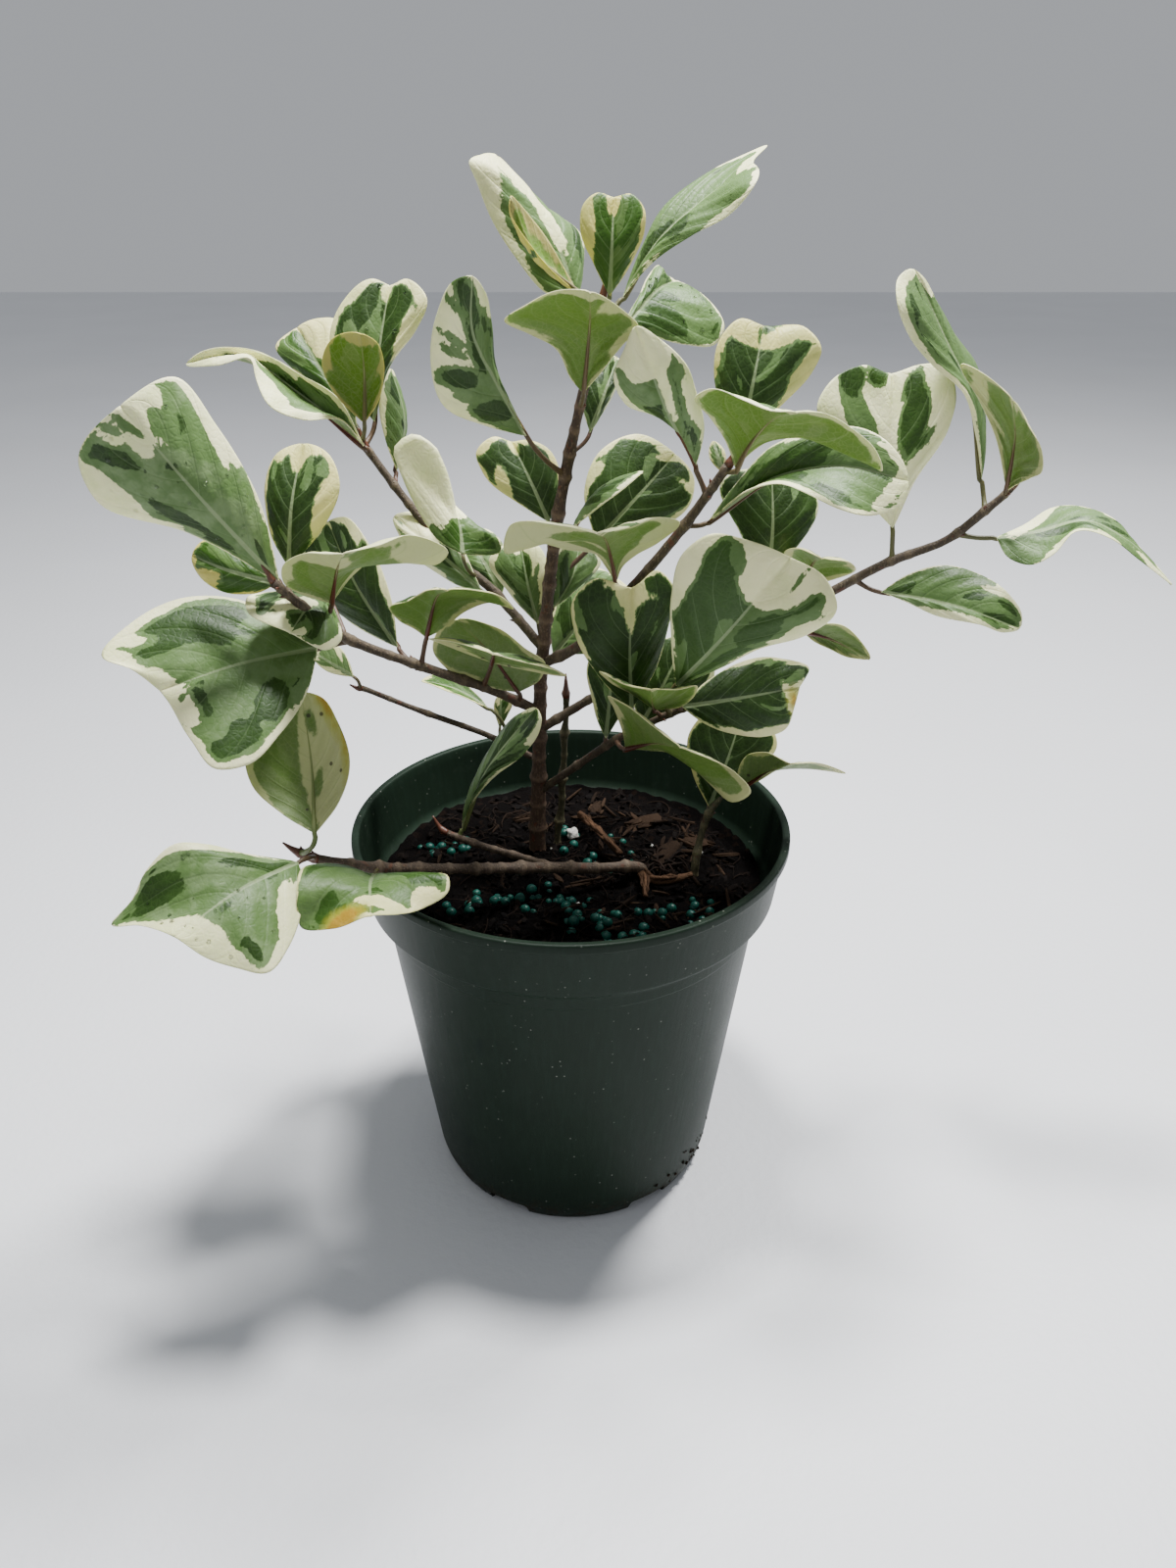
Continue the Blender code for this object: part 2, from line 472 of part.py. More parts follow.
def pot_profile():
    """Radius and height of the pot's section, from the floor's middle up the inside and down the outside."""
    inner_ledge = BAND_FOOT_RADIUS - WALL
    inside = [
        (0, FLOOR), (FOOT_RADIUS - 2, FLOOR), (BODY_FOOT_RADIUS - WALL, FLOOR + 5),
        (BODY_TOP_RADIUS - WALL, BODY_TOP_Z), (BODY_TOP_RADIUS - 0.8, BAND_FOOT_Z - 5),
        (inner_ledge, BAND_FOOT_Z + 0.5), (RIM_RADIUS - 3.6, POT_HEIGHT - LIP_DEPTH),
        (RIM_RADIUS - 3.1, POT_HEIGHT - 0.8), (RIM_RADIUS - 2.3, POT_HEIGHT),
    ]
    outside = [
        (RIM_RADIUS - 0.7, POT_HEIGHT), (RIM_RADIUS, POT_HEIGHT - 0.7),
        (RIM_RADIUS, POT_HEIGHT - LIP_DEPTH + 0.5), (RIM_RADIUS - 1.6, POT_HEIGHT - LIP_DEPTH - 0.4),
        (BAND_FOOT_RADIUS, BAND_FOOT_Z + 0.8), (BAND_FOOT_RADIUS - 0.9, BAND_FOOT_Z - 0.3),
        (BODY_TOP_RADIUS + 1.4, BAND_FOOT_Z - 4.0), (BODY_TOP_RADIUS + 0.6, BODY_TOP_Z + 0.4),
        (BODY_TOP_RADIUS, BODY_TOP_Z - 0.4), (BODY_FOOT_RADIUS, 7.0), (BODY_FOOT_RADIUS - 1.2, 3.0),
        (BODY_FOOT_RADIUS - 2.6, 1.0), (FOOT_RADIUS, 0), (0, 0),
    ]
    return inside + outside


def notch_cutters(collection):
    """Blocks that cut the drainage notches out of the pot's lower edge."""
    cutters = []
    reach = 16.0
    for number in range(NOTCHES):
        turn = NOTCH_TURN - math.pi / 2 + number * 2 * math.pi / NOTCHES
        mesh = bpy.data.meshes.new("notch")
        work = bmesh.new()
        bmesh.ops.create_cube(work, size=MM)
        bmesh.ops.scale(work, vec=(reach, NOTCH_WIDTH, 2 * NOTCH_HEIGHT), verts=work.verts)
        work.to_mesh(mesh)
        work.free()
        made = new_object("notch_%d" % number, mesh, collection)
        radius = BODY_FOOT_RADIUS - 6.0 + reach / 2
        made.location = Vector((radius * math.cos(turn), radius * math.sin(turn), 0)) * MM
        made.rotation_euler = (0, 0, turn)
        cutters.append(made)
    return cutters


def make_pot(parts, cutters):
    pot = turned("pot", pot_profile(), parts)
    give_material(pot, "plastic")
    cut(pot, notch_cutters(cutters))
    return pot


def soil_height(x, y):
    """Height of the rough top of the soil, in millimetres."""
    rough = noise.noise(Vector((x, y, 4.0)) * 0.09) + 0.6 * noise.noise(Vector((x, y, 9.0)) * 0.21)
    return SOIL_Z + SOIL_ROUGHNESS * rough


def soil_profile():
    """The soil's section: up the inside of the pot's wall from the floor, with the top in rings."""
    floor = FLOOR + GAP
    wall = [
        (0, SOIL_Z), (14, SOIL_Z), (28, SOIL_Z), (42, SOIL_Z), (56, SOIL_Z),
        (BODY_TOP_RADIUS + 2.0, SOIL_Z), (BODY_TOP_RADIUS - 1.5, BAND_FOOT_Z - 5.5),
        (BODY_TOP_RADIUS - WALL - 0.6, BODY_TOP_Z), (BODY_FOOT_RADIUS - WALL - 0.6, floor + 5),
        (FOOT_RADIUS - 2.6, floor), (0, floor),
    ]
    return wall


def bead(name, place, collection):
    """One bead of fertiliser, a coarse ball."""
    mesh = bpy.data.meshes.new(name)
    work = bmesh.new()
    bmesh.ops.create_icosphere(work, subdivisions=1, radius=BEAD_RADIUS * MM)
    work.to_mesh(mesh)
    work.free()
    made = new_object(name, mesh, collection)
    made.location = Vector(place) * MM
    return made


def bark_chip(name, x, y, length, width, thickness, turn, collection):
    """One flat chip of bark, tapered, lying half sunk in the soil."""
    mesh = bpy.data.meshes.new(name)
    work = bmesh.new()
    bmesh.ops.create_cone(work, cap_ends=True, segments=5, radius1=0.5 * MM, radius2=0.3 * MM, depth=MM)
    bmesh.ops.scale(work, vec=(length, width, thickness), verts=work.verts)
    work.to_mesh(mesh)
    work.free()
    made = new_object(name, mesh, collection)
    made.location = Vector((x, y, soil_height(x, y) + 0.2 * thickness)) * MM
    made.rotation_euler = (math.radians(8), math.radians(-6), math.radians(turn))
    return made


def clear_of_stems(x, y, reach):
    """Whether a place on the soil is clear of every stem's hole and of the stick."""
    feet = [TRUNK[0]] + [STEMS[name][0] for name in ROOTED]
    if any(math.hypot(x - foot[0], y - foot[1]) < foot[3] + reach for foot in feet):
        return False
    return all(math.hypot(x - place[0], y - place[1]) > reach for place in smooth_path_of_stick())


def smooth_path_of_stick():
    """Points along the loose stick, with its radius."""
    return smooth_path([(*place, STICK_RADIUS) for place in STICK], 4)


def bead_places():
    """Where the beads lie: loose clusters, each drawn round its middle."""
    draw = random.Random(11)
    places = []
    for x, y, count in BEAD_CLUSTERS:
        for _ in range(count):
            place = (x + draw.uniform(-9, 9), y + draw.uniform(-5, 5))
            apart = all(math.dist(place, other) > 2.3 * BEAD_RADIUS for other in places)
            if apart and clear_of_stems(*place, 4.5) and math.hypot(*place) < BODY_TOP_RADIUS - 5:
                places.append(place)
    return places


def make_soil(parts, cutters):
    soil = turned("soil", soil_profile(), parts)
    for vertex in soil.data.vertices:
        x, y, z = vertex.co / MM
        if z > SOIL_Z - 0.1 and math.hypot(x, y) < BODY_TOP_RADIUS:
            vertex.co.z = soil_height(x, y) * MM
    pieces = [bead("bead", (x, y, soil_height(x, y) + 0.5 * BEAD_RADIUS), parts) for x, y in bead_places()]
    pieces += [bark_chip("chip", *chip, parts) for chip in BARK_CHIPS if clear_of_stems(chip[0], chip[1], 3)]
    soil = joined(soil, pieces, parts)
    give_material(soil, "mix")
    holes = []
    for name, foot in [("trunk", TRUNK[0])] + [(name, STEMS[name][0]) for name in ROOTED]:
        radius = (foot[3] + GAP + 0.1) / math.cos(math.pi / 12)
        holes.append(cylinder("hole_" + name, (foot[0], foot[1], foot[2] - GAP), radius, 30, 12, cutters))
    cut(soil, holes)
    return soil


def along(places, share):
    """A place on the smooth curve through places[1:-1], at a share of its length."""
    spans = [(end - start).length for start, end in zip(places[1:], places[2:-1])]
    left = share * sum(spans)
    for number, span in enumerate(spans):
        if left <= span or number == len(spans) - 1:
            break
        left -= span
    t = min(1.0, left / span)
    before, start, end, after = places[number:number + 4]
    start_slope = slope(before, start, end) * span
    end_slope = slope(start, end, after) * span
    return (start * (2 * t ** 3 - 3 * t * t + 1) + end * (3 * t * t - 2 * t ** 3)
            + start_slope * (t ** 3 - 2 * t * t + t) + end_slope * (t ** 3 - t * t))


def slope(before, place, after):
    """The direction in which a smooth curve passes a place, for neighbours at unlike distances."""
    back, ahead = (place - before).length, (after - place).length
    return ((place - before) / back * ahead + (after - place) / ahead * back) / (back + ahead)


def blade_point(one, u, v):
    """A place on a blade: u runs from base to tip, and v from the left edge at -1 to the right at 1."""
    side = abs(v)
    middle = along(one["rib"], u)
    edge = along(one["left" if v < 0 else "right"], u)
    lift = one["cup"] * 4 * side * (1 - side) * 4 * u * (1 - u)
    lift += one["wave"] * side * side * math.sin(9 * u + 2 * v) * min(1, 4 * u * (1 - u))
    return middle.lerp(edge, side) + one["upward"] * lift


def blade(one, collection):
    """A leaf's blade: a grid bent to its surface, split into triangles and made solid."""
    length = (one["rib"][-2] - one["rib"][1]).length
    columns, rows = LARGE_GRID if length > LARGE_LEAF else MIDDLE_GRID if length > SMALL_LEAF else SMALL_GRID
    mesh = bpy.data.meshes.new(one["name"])
    work = bmesh.new()
    bmesh.ops.create_grid(work, x_segments=columns, y_segments=rows, size=1)
    for vertex in work.verts:
        vertex.co = blade_point(one, (vertex.co.y + 1) / 2, vertex.co.x) * MM
    bmesh.ops.remove_doubles(work, verts=work.verts, dist=0.05 * MM)
    bmesh.ops.triangulate(work, faces=work.faces)
    work.to_mesh(mesh)
    work.free()
    made = new_object(one["name"], mesh, collection)
    solid = made.modifiers.new("thickness", "SOLIDIFY")
    solid.thickness = BLADE_THICKNESS * MM
    solid.offset = 0
    return baked(made, one["name"], collection)


def petiole(one, stems, collection):
    """A leaf's stalk, from the stem into the root of its blade."""
    base = one["rib"][1]
    heading = (along(one["rib"], 0.15) - base).normalized()
    places = [place for path in stems for place in path]
    away = min((place.to_3d() - base).length for place in places)
    aim = base - heading * away
    start = min((place.to_3d() for place in places), key=lambda place: (place - aim).length)
    bend = base - heading * (start - base).length * 0.45
    points = []
    for step in range(3):
        t = step / 2
        points.append((*start.lerp(bend, t).lerp(bend.lerp(base, t), t), PETIOLE_RADIUS))
    sunk = PETIOLE_SUNK / (one["rib"][-2] - base).length
    points.append((*along(one["rib"], sunk), PETIOLE_RADIUS * 0.8))
    return tube("petiole", points, 4, collection)


def off_the_trunk(places):
    """A branch's places with its foot moved out along it, just clear of the trunk."""
    foot = Vector(places[0][:3])
    heading = (Vector(places[1][:3]) - foot).normalized()
    lean = abs(heading.z)
    clear = (TRUNK[2][3] + GAP + 0.4 + places[0][3] * lean) / math.sqrt(1 - lean * lean)
    return [(*(foot + heading * clear), places[0][3])] + places[1:]


def make_leafy_stem(name, places, leaves, parts, twig=None):
    """A stem with its leaves, fused in one solid."""
    paths = [smooth_path(places, STEM_SPACING)]
    pieces = []
    if twig:
        paths.append(smooth_path(twig, STEM_SPACING))
        pieces.append(tube("twig", paths[1], STEM_SIDES, parts))
    for one in leaves:
        pieces.append(blade(one, parts))
        pieces.append(petiole(one, paths, parts))
    stem = tube(name, paths[0], STEM_SIDES, parts)
    if pieces:
        stem = joined(stem, pieces, parts)
    give_material(stem, "leaf")
    return stem


def make_stick(parts):
    stick = tube("stick", smooth_path_of_stick(), 6, parts)
    give_material(stick, "wood")
    return stick


def main():
    for old in list(bpy.data.objects):
        bpy.data.objects.remove(old)
    parts = bpy.data.collections.new("potted_triangle_fig")
    cutters = bpy.data.collections.new("cutters")
    bpy.context.scene.collection.children.link(parts)
    bpy.context.scene.collection.children.link(cutters)
    make_pot(parts, cutters)
    make_soil(parts, cutters)
    make_stick(parts)
    make_leafy_stem("trunk_crown", TRUNK, LEAVES["trunk_crown"], parts)
    for name, places in STEMS.items():
        if name.startswith("branch"):
            places = off_the_trunk(places)
        twig = LOW_TWIG if name == "stem_low" else None
        make_leafy_stem(name, places, LEAVES.get(name, []), parts, twig)
    for made in parts.objects:
        made.data.shade_smooth()
        made.data.set_sharp_from_angle(angle=math.radians(40))


main()
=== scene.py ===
import math
import random
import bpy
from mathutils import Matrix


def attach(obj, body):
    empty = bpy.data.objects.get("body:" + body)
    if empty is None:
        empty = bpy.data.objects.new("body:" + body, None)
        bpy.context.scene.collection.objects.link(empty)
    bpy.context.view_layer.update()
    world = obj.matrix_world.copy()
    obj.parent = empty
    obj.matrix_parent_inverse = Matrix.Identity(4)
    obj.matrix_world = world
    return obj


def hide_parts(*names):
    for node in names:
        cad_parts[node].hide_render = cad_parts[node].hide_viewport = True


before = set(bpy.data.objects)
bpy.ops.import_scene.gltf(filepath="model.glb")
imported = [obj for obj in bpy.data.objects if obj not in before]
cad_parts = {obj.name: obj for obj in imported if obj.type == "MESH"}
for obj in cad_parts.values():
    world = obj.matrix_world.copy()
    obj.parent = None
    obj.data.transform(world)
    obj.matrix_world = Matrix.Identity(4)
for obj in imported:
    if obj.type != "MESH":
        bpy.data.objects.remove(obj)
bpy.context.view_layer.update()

from types import SimpleNamespace

import bmesh
import bpy
import numpy as np
from mathutils import Euler, Matrix, Vector, noise

MM = 0.001

# The camera, in metres and degrees, and the studio in metres and watts
FOCAL_PIXELS = 1202.0
IMAGE_HEIGHT = 1600.0
SENSOR_WIDTH = 36.0
CAMERA_PLACE = (0.0064, -0.3911, 0.3697)
CAMERA_PITCH = 27.47
FLOOR_REACH = 4.0
# Each lamp's place, width and power
LAMPS = {"overhead": ((0.0, 0.03, 0.90), 0.13, 12.0), "back_right": ((0.60, 0.48, 1.45), 0.22, 34.0)}
LAMP_AIM = (0, 0, 0.1)
ROOM_COLOUR = (0.80, 0.83, 0.88, 1.0)
ROOM_STRENGTH = 0.50

# The pot, in millimetres
POT_HEIGHT = 151.0
RIM_RADIUS = 82.5
LIP_DEPTH = 3.6
BAND_FOOT_RADIUS = 77.9
BAND_FOOT_Z = 127.0
BODY_TOP_RADIUS = 71.4
BODY_TOP_Z = 117.0
BODY_FOOT_RADIUS = 57.2
BODY_FOOT_Z = 6.0
FOOT_RADIUS = 53.0
WALL = 1.4
FLOOR = 1.8
POT_SLOPE = (BODY_TOP_RADIUS - BODY_FOOT_RADIUS) / (BODY_TOP_Z - BODY_FOOT_Z)
POT_SIDES = 144
NOTCHES = 6
NOTCH_TURN = math.radians(-27)
NOTCH_WIDTH = 17.0
NOTCH_HEIGHT = 4.5
NOTCH_REACH = 16.0

# The soil and what lies on it
SOIL_Z = 126.0
SOIL_ROUGHNESS = 1.3
SOIL_RADIUS = 73.0
SOIL_RINGS = 110
SOIL_SIDES = 190
CRUMBS = 760
LOOSE_SPLINTERS = 90
ROOT_FIBRES = 230
LUMP_FIBRES = 46
LOOSE_BEADS = 90
PERLITE_BITS = 12
FOOT_CRUMBS = 38
CHIP_SIDES = 9
BEAD_RADIUS = 2.1
# Each cluster's x, y and number of beads
BEAD_CLUSTERS = [
    (-52, 20, 9), (-38, -22, 8), (-24, -17, 6), (-8, -22, 9), (8, -32, 8), (18, -40, 8),
    (36, -28, 9), (2, 26, 6), (14, 10, 6), (52, -22, 4), (26, -56, 3),
]
# Each chip's x, y, length, width, thickness and turn in degrees
BARK_CHIPS = [
    (30, 40, 20, 9, 3.5, 20), (50, 22, 16, 10, 3, -35), (38, 14, 24, 9, 4, 60), (58, -32, 7, 4, 3, 10),
    (-20, 44, 14, 6, 3, 35), (-40, -40, 15, 5, 2.5, -20), (10, 52, 12, 7, 3, 70), (-48, 2, 10, 6, 3, 50),
]
STICK = [(3, 40, 131.5), (8, 28, 133.0), (13, 17, 133.5), (19, 6, 132.5)]
STICK_RADIUS = 1.6
BROKEN_FORKS = [
    [(27, -3, 129, 2.0), (32, -9, 129.5, 1.9), (39, -11, 131, 1.7), (46, -11, 133.5, 1.2)],
    [(27, -3, 129.5, 1.9), (28, -9, 129, 1.7), (28, -17, 127.5, 1.1)],
]
ROOT_LUMP = (33, 6)

# Stems and leaves
PETIOLE_RADIUS = 0.95
PETIOLE_STEPS = 10
BLADE_THICKNESS = 0.5
# The share of a blade along which the midrib stands out under it
MIDRIB_REACH = 0.72
# The power by which a blade's columns crowd toward its margins
MARGIN_CROWDING = 1.25
# The width of the rim's strip on a blade's map
RIM_STRIP = 0.008
LEAF_SEED = 1.37
# A margin wider than this makes the whole leaf cream
ALL_CREAM = 30.0
# The depth at which a colour's field is cut off
FIELD_REACH = 9
STEM_SIDES = 18
# A side bud's radii at shares of its length
SIDE_BUD = ((0, 0.55), (0.3, 0.62), (0.6, 0.42), (0.85, 0.2), (1.0, 0.05))
# Which leaves carry drops, how many, and between which shares of their length
DROPS = ((6, 22, (0.25, 0.85)), (3, 14, (0.3, 0.95)), (15, 20, (0.4, 0.9)), (29, 12, (0.3, 0.9)))

# Each stem is its places, bottom to top, with its radius there. The last two make its pointed bud.
TRUNK = [
    (-14, 20, 112, 3.4), (-14, 20, 129, 3.4), (-13, 19, 156, 2.9), (-12, 17, 183, 2.5), (-11, 14, 204, 2.4),
    (-9, 11, 224, 2.2), (-7, 8, 243, 2.1), (-4, 4, 265, 2.0), (0, 0, 286, 1.8), (3, -3, 300, 1.6),
    (7, -4, 317, 1.5), (10, -3, 332, 1.3), (12, -2, 340, 1.0), (13, -1, 346, 0.4),
]
STEMS = {
    "branch_left": [
        (-14, 14, 191, 1.8), (-29, 6, 202, 1.8), (-52, -6, 216, 1.7), (-73, -18, 230, 1.6),
        (-84, -26, 243, 1.5), (-92, -32, 254, 1.3), (-94, -33, 258, 0.8), (-96, -34, 262, 0.3),
    ],
    "branch_upper_left": [
        (-11, 12, 217, 1.7), (-21, 14, 229, 1.7), (-29, 15, 238, 1.6), (-39, 17, 246, 1.6),
        (-52, 19, 261, 1.5), (-62, 21, 274, 1.4), (-69, 22, 284, 1.2), (-71, 22, 288, 0.8),
        (-72, 22, 292, 0.3),
    ],
    "branch_right": [
        (-10, 12, 210, 1.9), (3, 6, 219, 1.9), (15, 0, 235, 1.8), (26, -6, 250, 1.7), (38, -13, 268, 1.6),
        (49, -20, 287, 1.4), (51, -21, 291, 0.9), (52, -22, 295, 0.3),
    ],
    "branch_far_right": [
        (-12, 17, 181, 1.7), (12, 18, 196, 1.7), (42, 16, 213, 1.6), (70, 12, 226, 1.6), (91, 8, 238, 1.6),
        (109, 4, 250, 1.5), (127, 0, 259, 1.4), (138, -3, 270, 1.4), (144, -5, 277, 1.2), (147, -5, 281, 0.9),
        (149, -5, 284, 0.3),
    ],
    "branch_low_right": [
        (-13, 19, 153, 1.5), (6, 12, 171, 1.5), (17, 6, 182, 1.4), (30, -2, 193, 1.3), (41, -10, 202, 1.2),
        (45, -12, 204, 0.8), (48, -14, 206, 0.3),
    ],
    "branch_thin": [
        (-13, 21, 166, 1.2), (-32, 26, 174, 1.2), (-59, 24, 186, 1.1), (-77, 20, 196, 1.0),
        (-80, 19, 197, 0.8), (-83, 18, 199, 0.3),
    ],
    "stem_low": [
        (28, -1, 112, 1.9), (28, -1, 127, 2.0), (24, -3, 132, 2.0), (8, -9, 135, 2.0), (-10, -15, 139, 2.1),
        (-38, -29, 147, 1.9), (-66, -43, 156, 1.9), (-84, -49, 163, 1.6), (-91, -52, 168, 1.2),
        (-95, -53, 172, 0.3),
    ],
    "stem_green": [
        (-6, 24, 112, 1.3), (-6, 24, 129, 1.3), (-5, 25, 138, 1.5), (-4, 25, 147, 1.2), (-4, 25, 155, 1.5),
        (-3, 26, 165, 1.1), (-3, 26, 173, 1.4), (-2, 25, 183, 1.1), (-2, 25, 190, 1.2), (-2, 24, 196, 0.9),
        (-2, 24, 201, 0.3),
    ],
    "seedling": [
        (48, 1, 112, 1.5), (48, 1, 129, 1.5), (50, 5, 140, 1.4), (53, 7, 150, 1.4), (57, 8, 156, 1.2),
        (59, 9, 160, 0.8), (60, 9, 163, 0.3),
    ],
}
# The twig that leaves the low stem, lies over the soil and carries one slender leaf
LOW_TWIG = [
    (-6, -13, 138, 1.3), (-16, -9, 139, 1.3), (-33, -3, 141, 1.3), (-46, 1, 144, 1.2), (-50, 2, 146, 1.0),
    (-53, 3, 151, 0.3),
]


def leaf(number, base, tip, left, right, bow=4, cup=1.5, blunt=0.5, shoulder=0.5, rib=None):
    """One leaf. Left and right are its sides, as one looks at its upper face with the tip up.

    Each side is a list of places on its edge, or one place, its lobe, which blunt and shoulder
    complete: blunt is 0 for a round end and 1 for a cut-off one, and shoulder 1 for full sides.
    bow is how far the midrib arches to the upper side where no place in rib says its way, and
    cup how far each half arches.
    """
    base, tip = Vector(base), Vector(tip)
    sides = {}
    for name, places in (("left", left), ("right", right)):
        places = [Vector(place) for place in (places if isinstance(places, list) else [places])]
        sides[name] = places if len(places) > 1 else lobe_edge(base, tip, places[0], blunt, shoulder)
    across = sides["right"][-1] - sides["left"][-1]
    upward = across.cross(tip - base).normalized()
    middle = [Vector(place) for place in rib] if rib else [base.lerp(tip, 0.5) + upward * bow]
    one = {"number": number, "upward": upward, "cup": cup}
    one["rib"] = [2 * base - middle[0], base] + middle + [tip, 2 * tip - middle[-1]]
    for name, other in (("left", "right"), ("right", "left")):
        places = sides[name]
        one[name] = [2 * base - places[0], base] + places + [tip, sides[other][-1]]
    return one


def lobe_edge(base, tip, lobe, blunt, shoulder):
    """The places on a side's edge that its one lobe stands for."""
    chord = tip - base
    reach = min(0.9, max(0.4, (lobe - base).dot(chord) / chord.length_squared))
    out = lobe - base.lerp(tip, reach)
    near = base.lerp(tip, reach * 0.45) + out * (0.5 + 0.25 * shoulder)
    corner = base.lerp(tip, reach + (1 - reach) * (0.68 + 0.24 * blunt)) + out * (0.66 + 0.18 * blunt)
    return [near, lobe, corner]


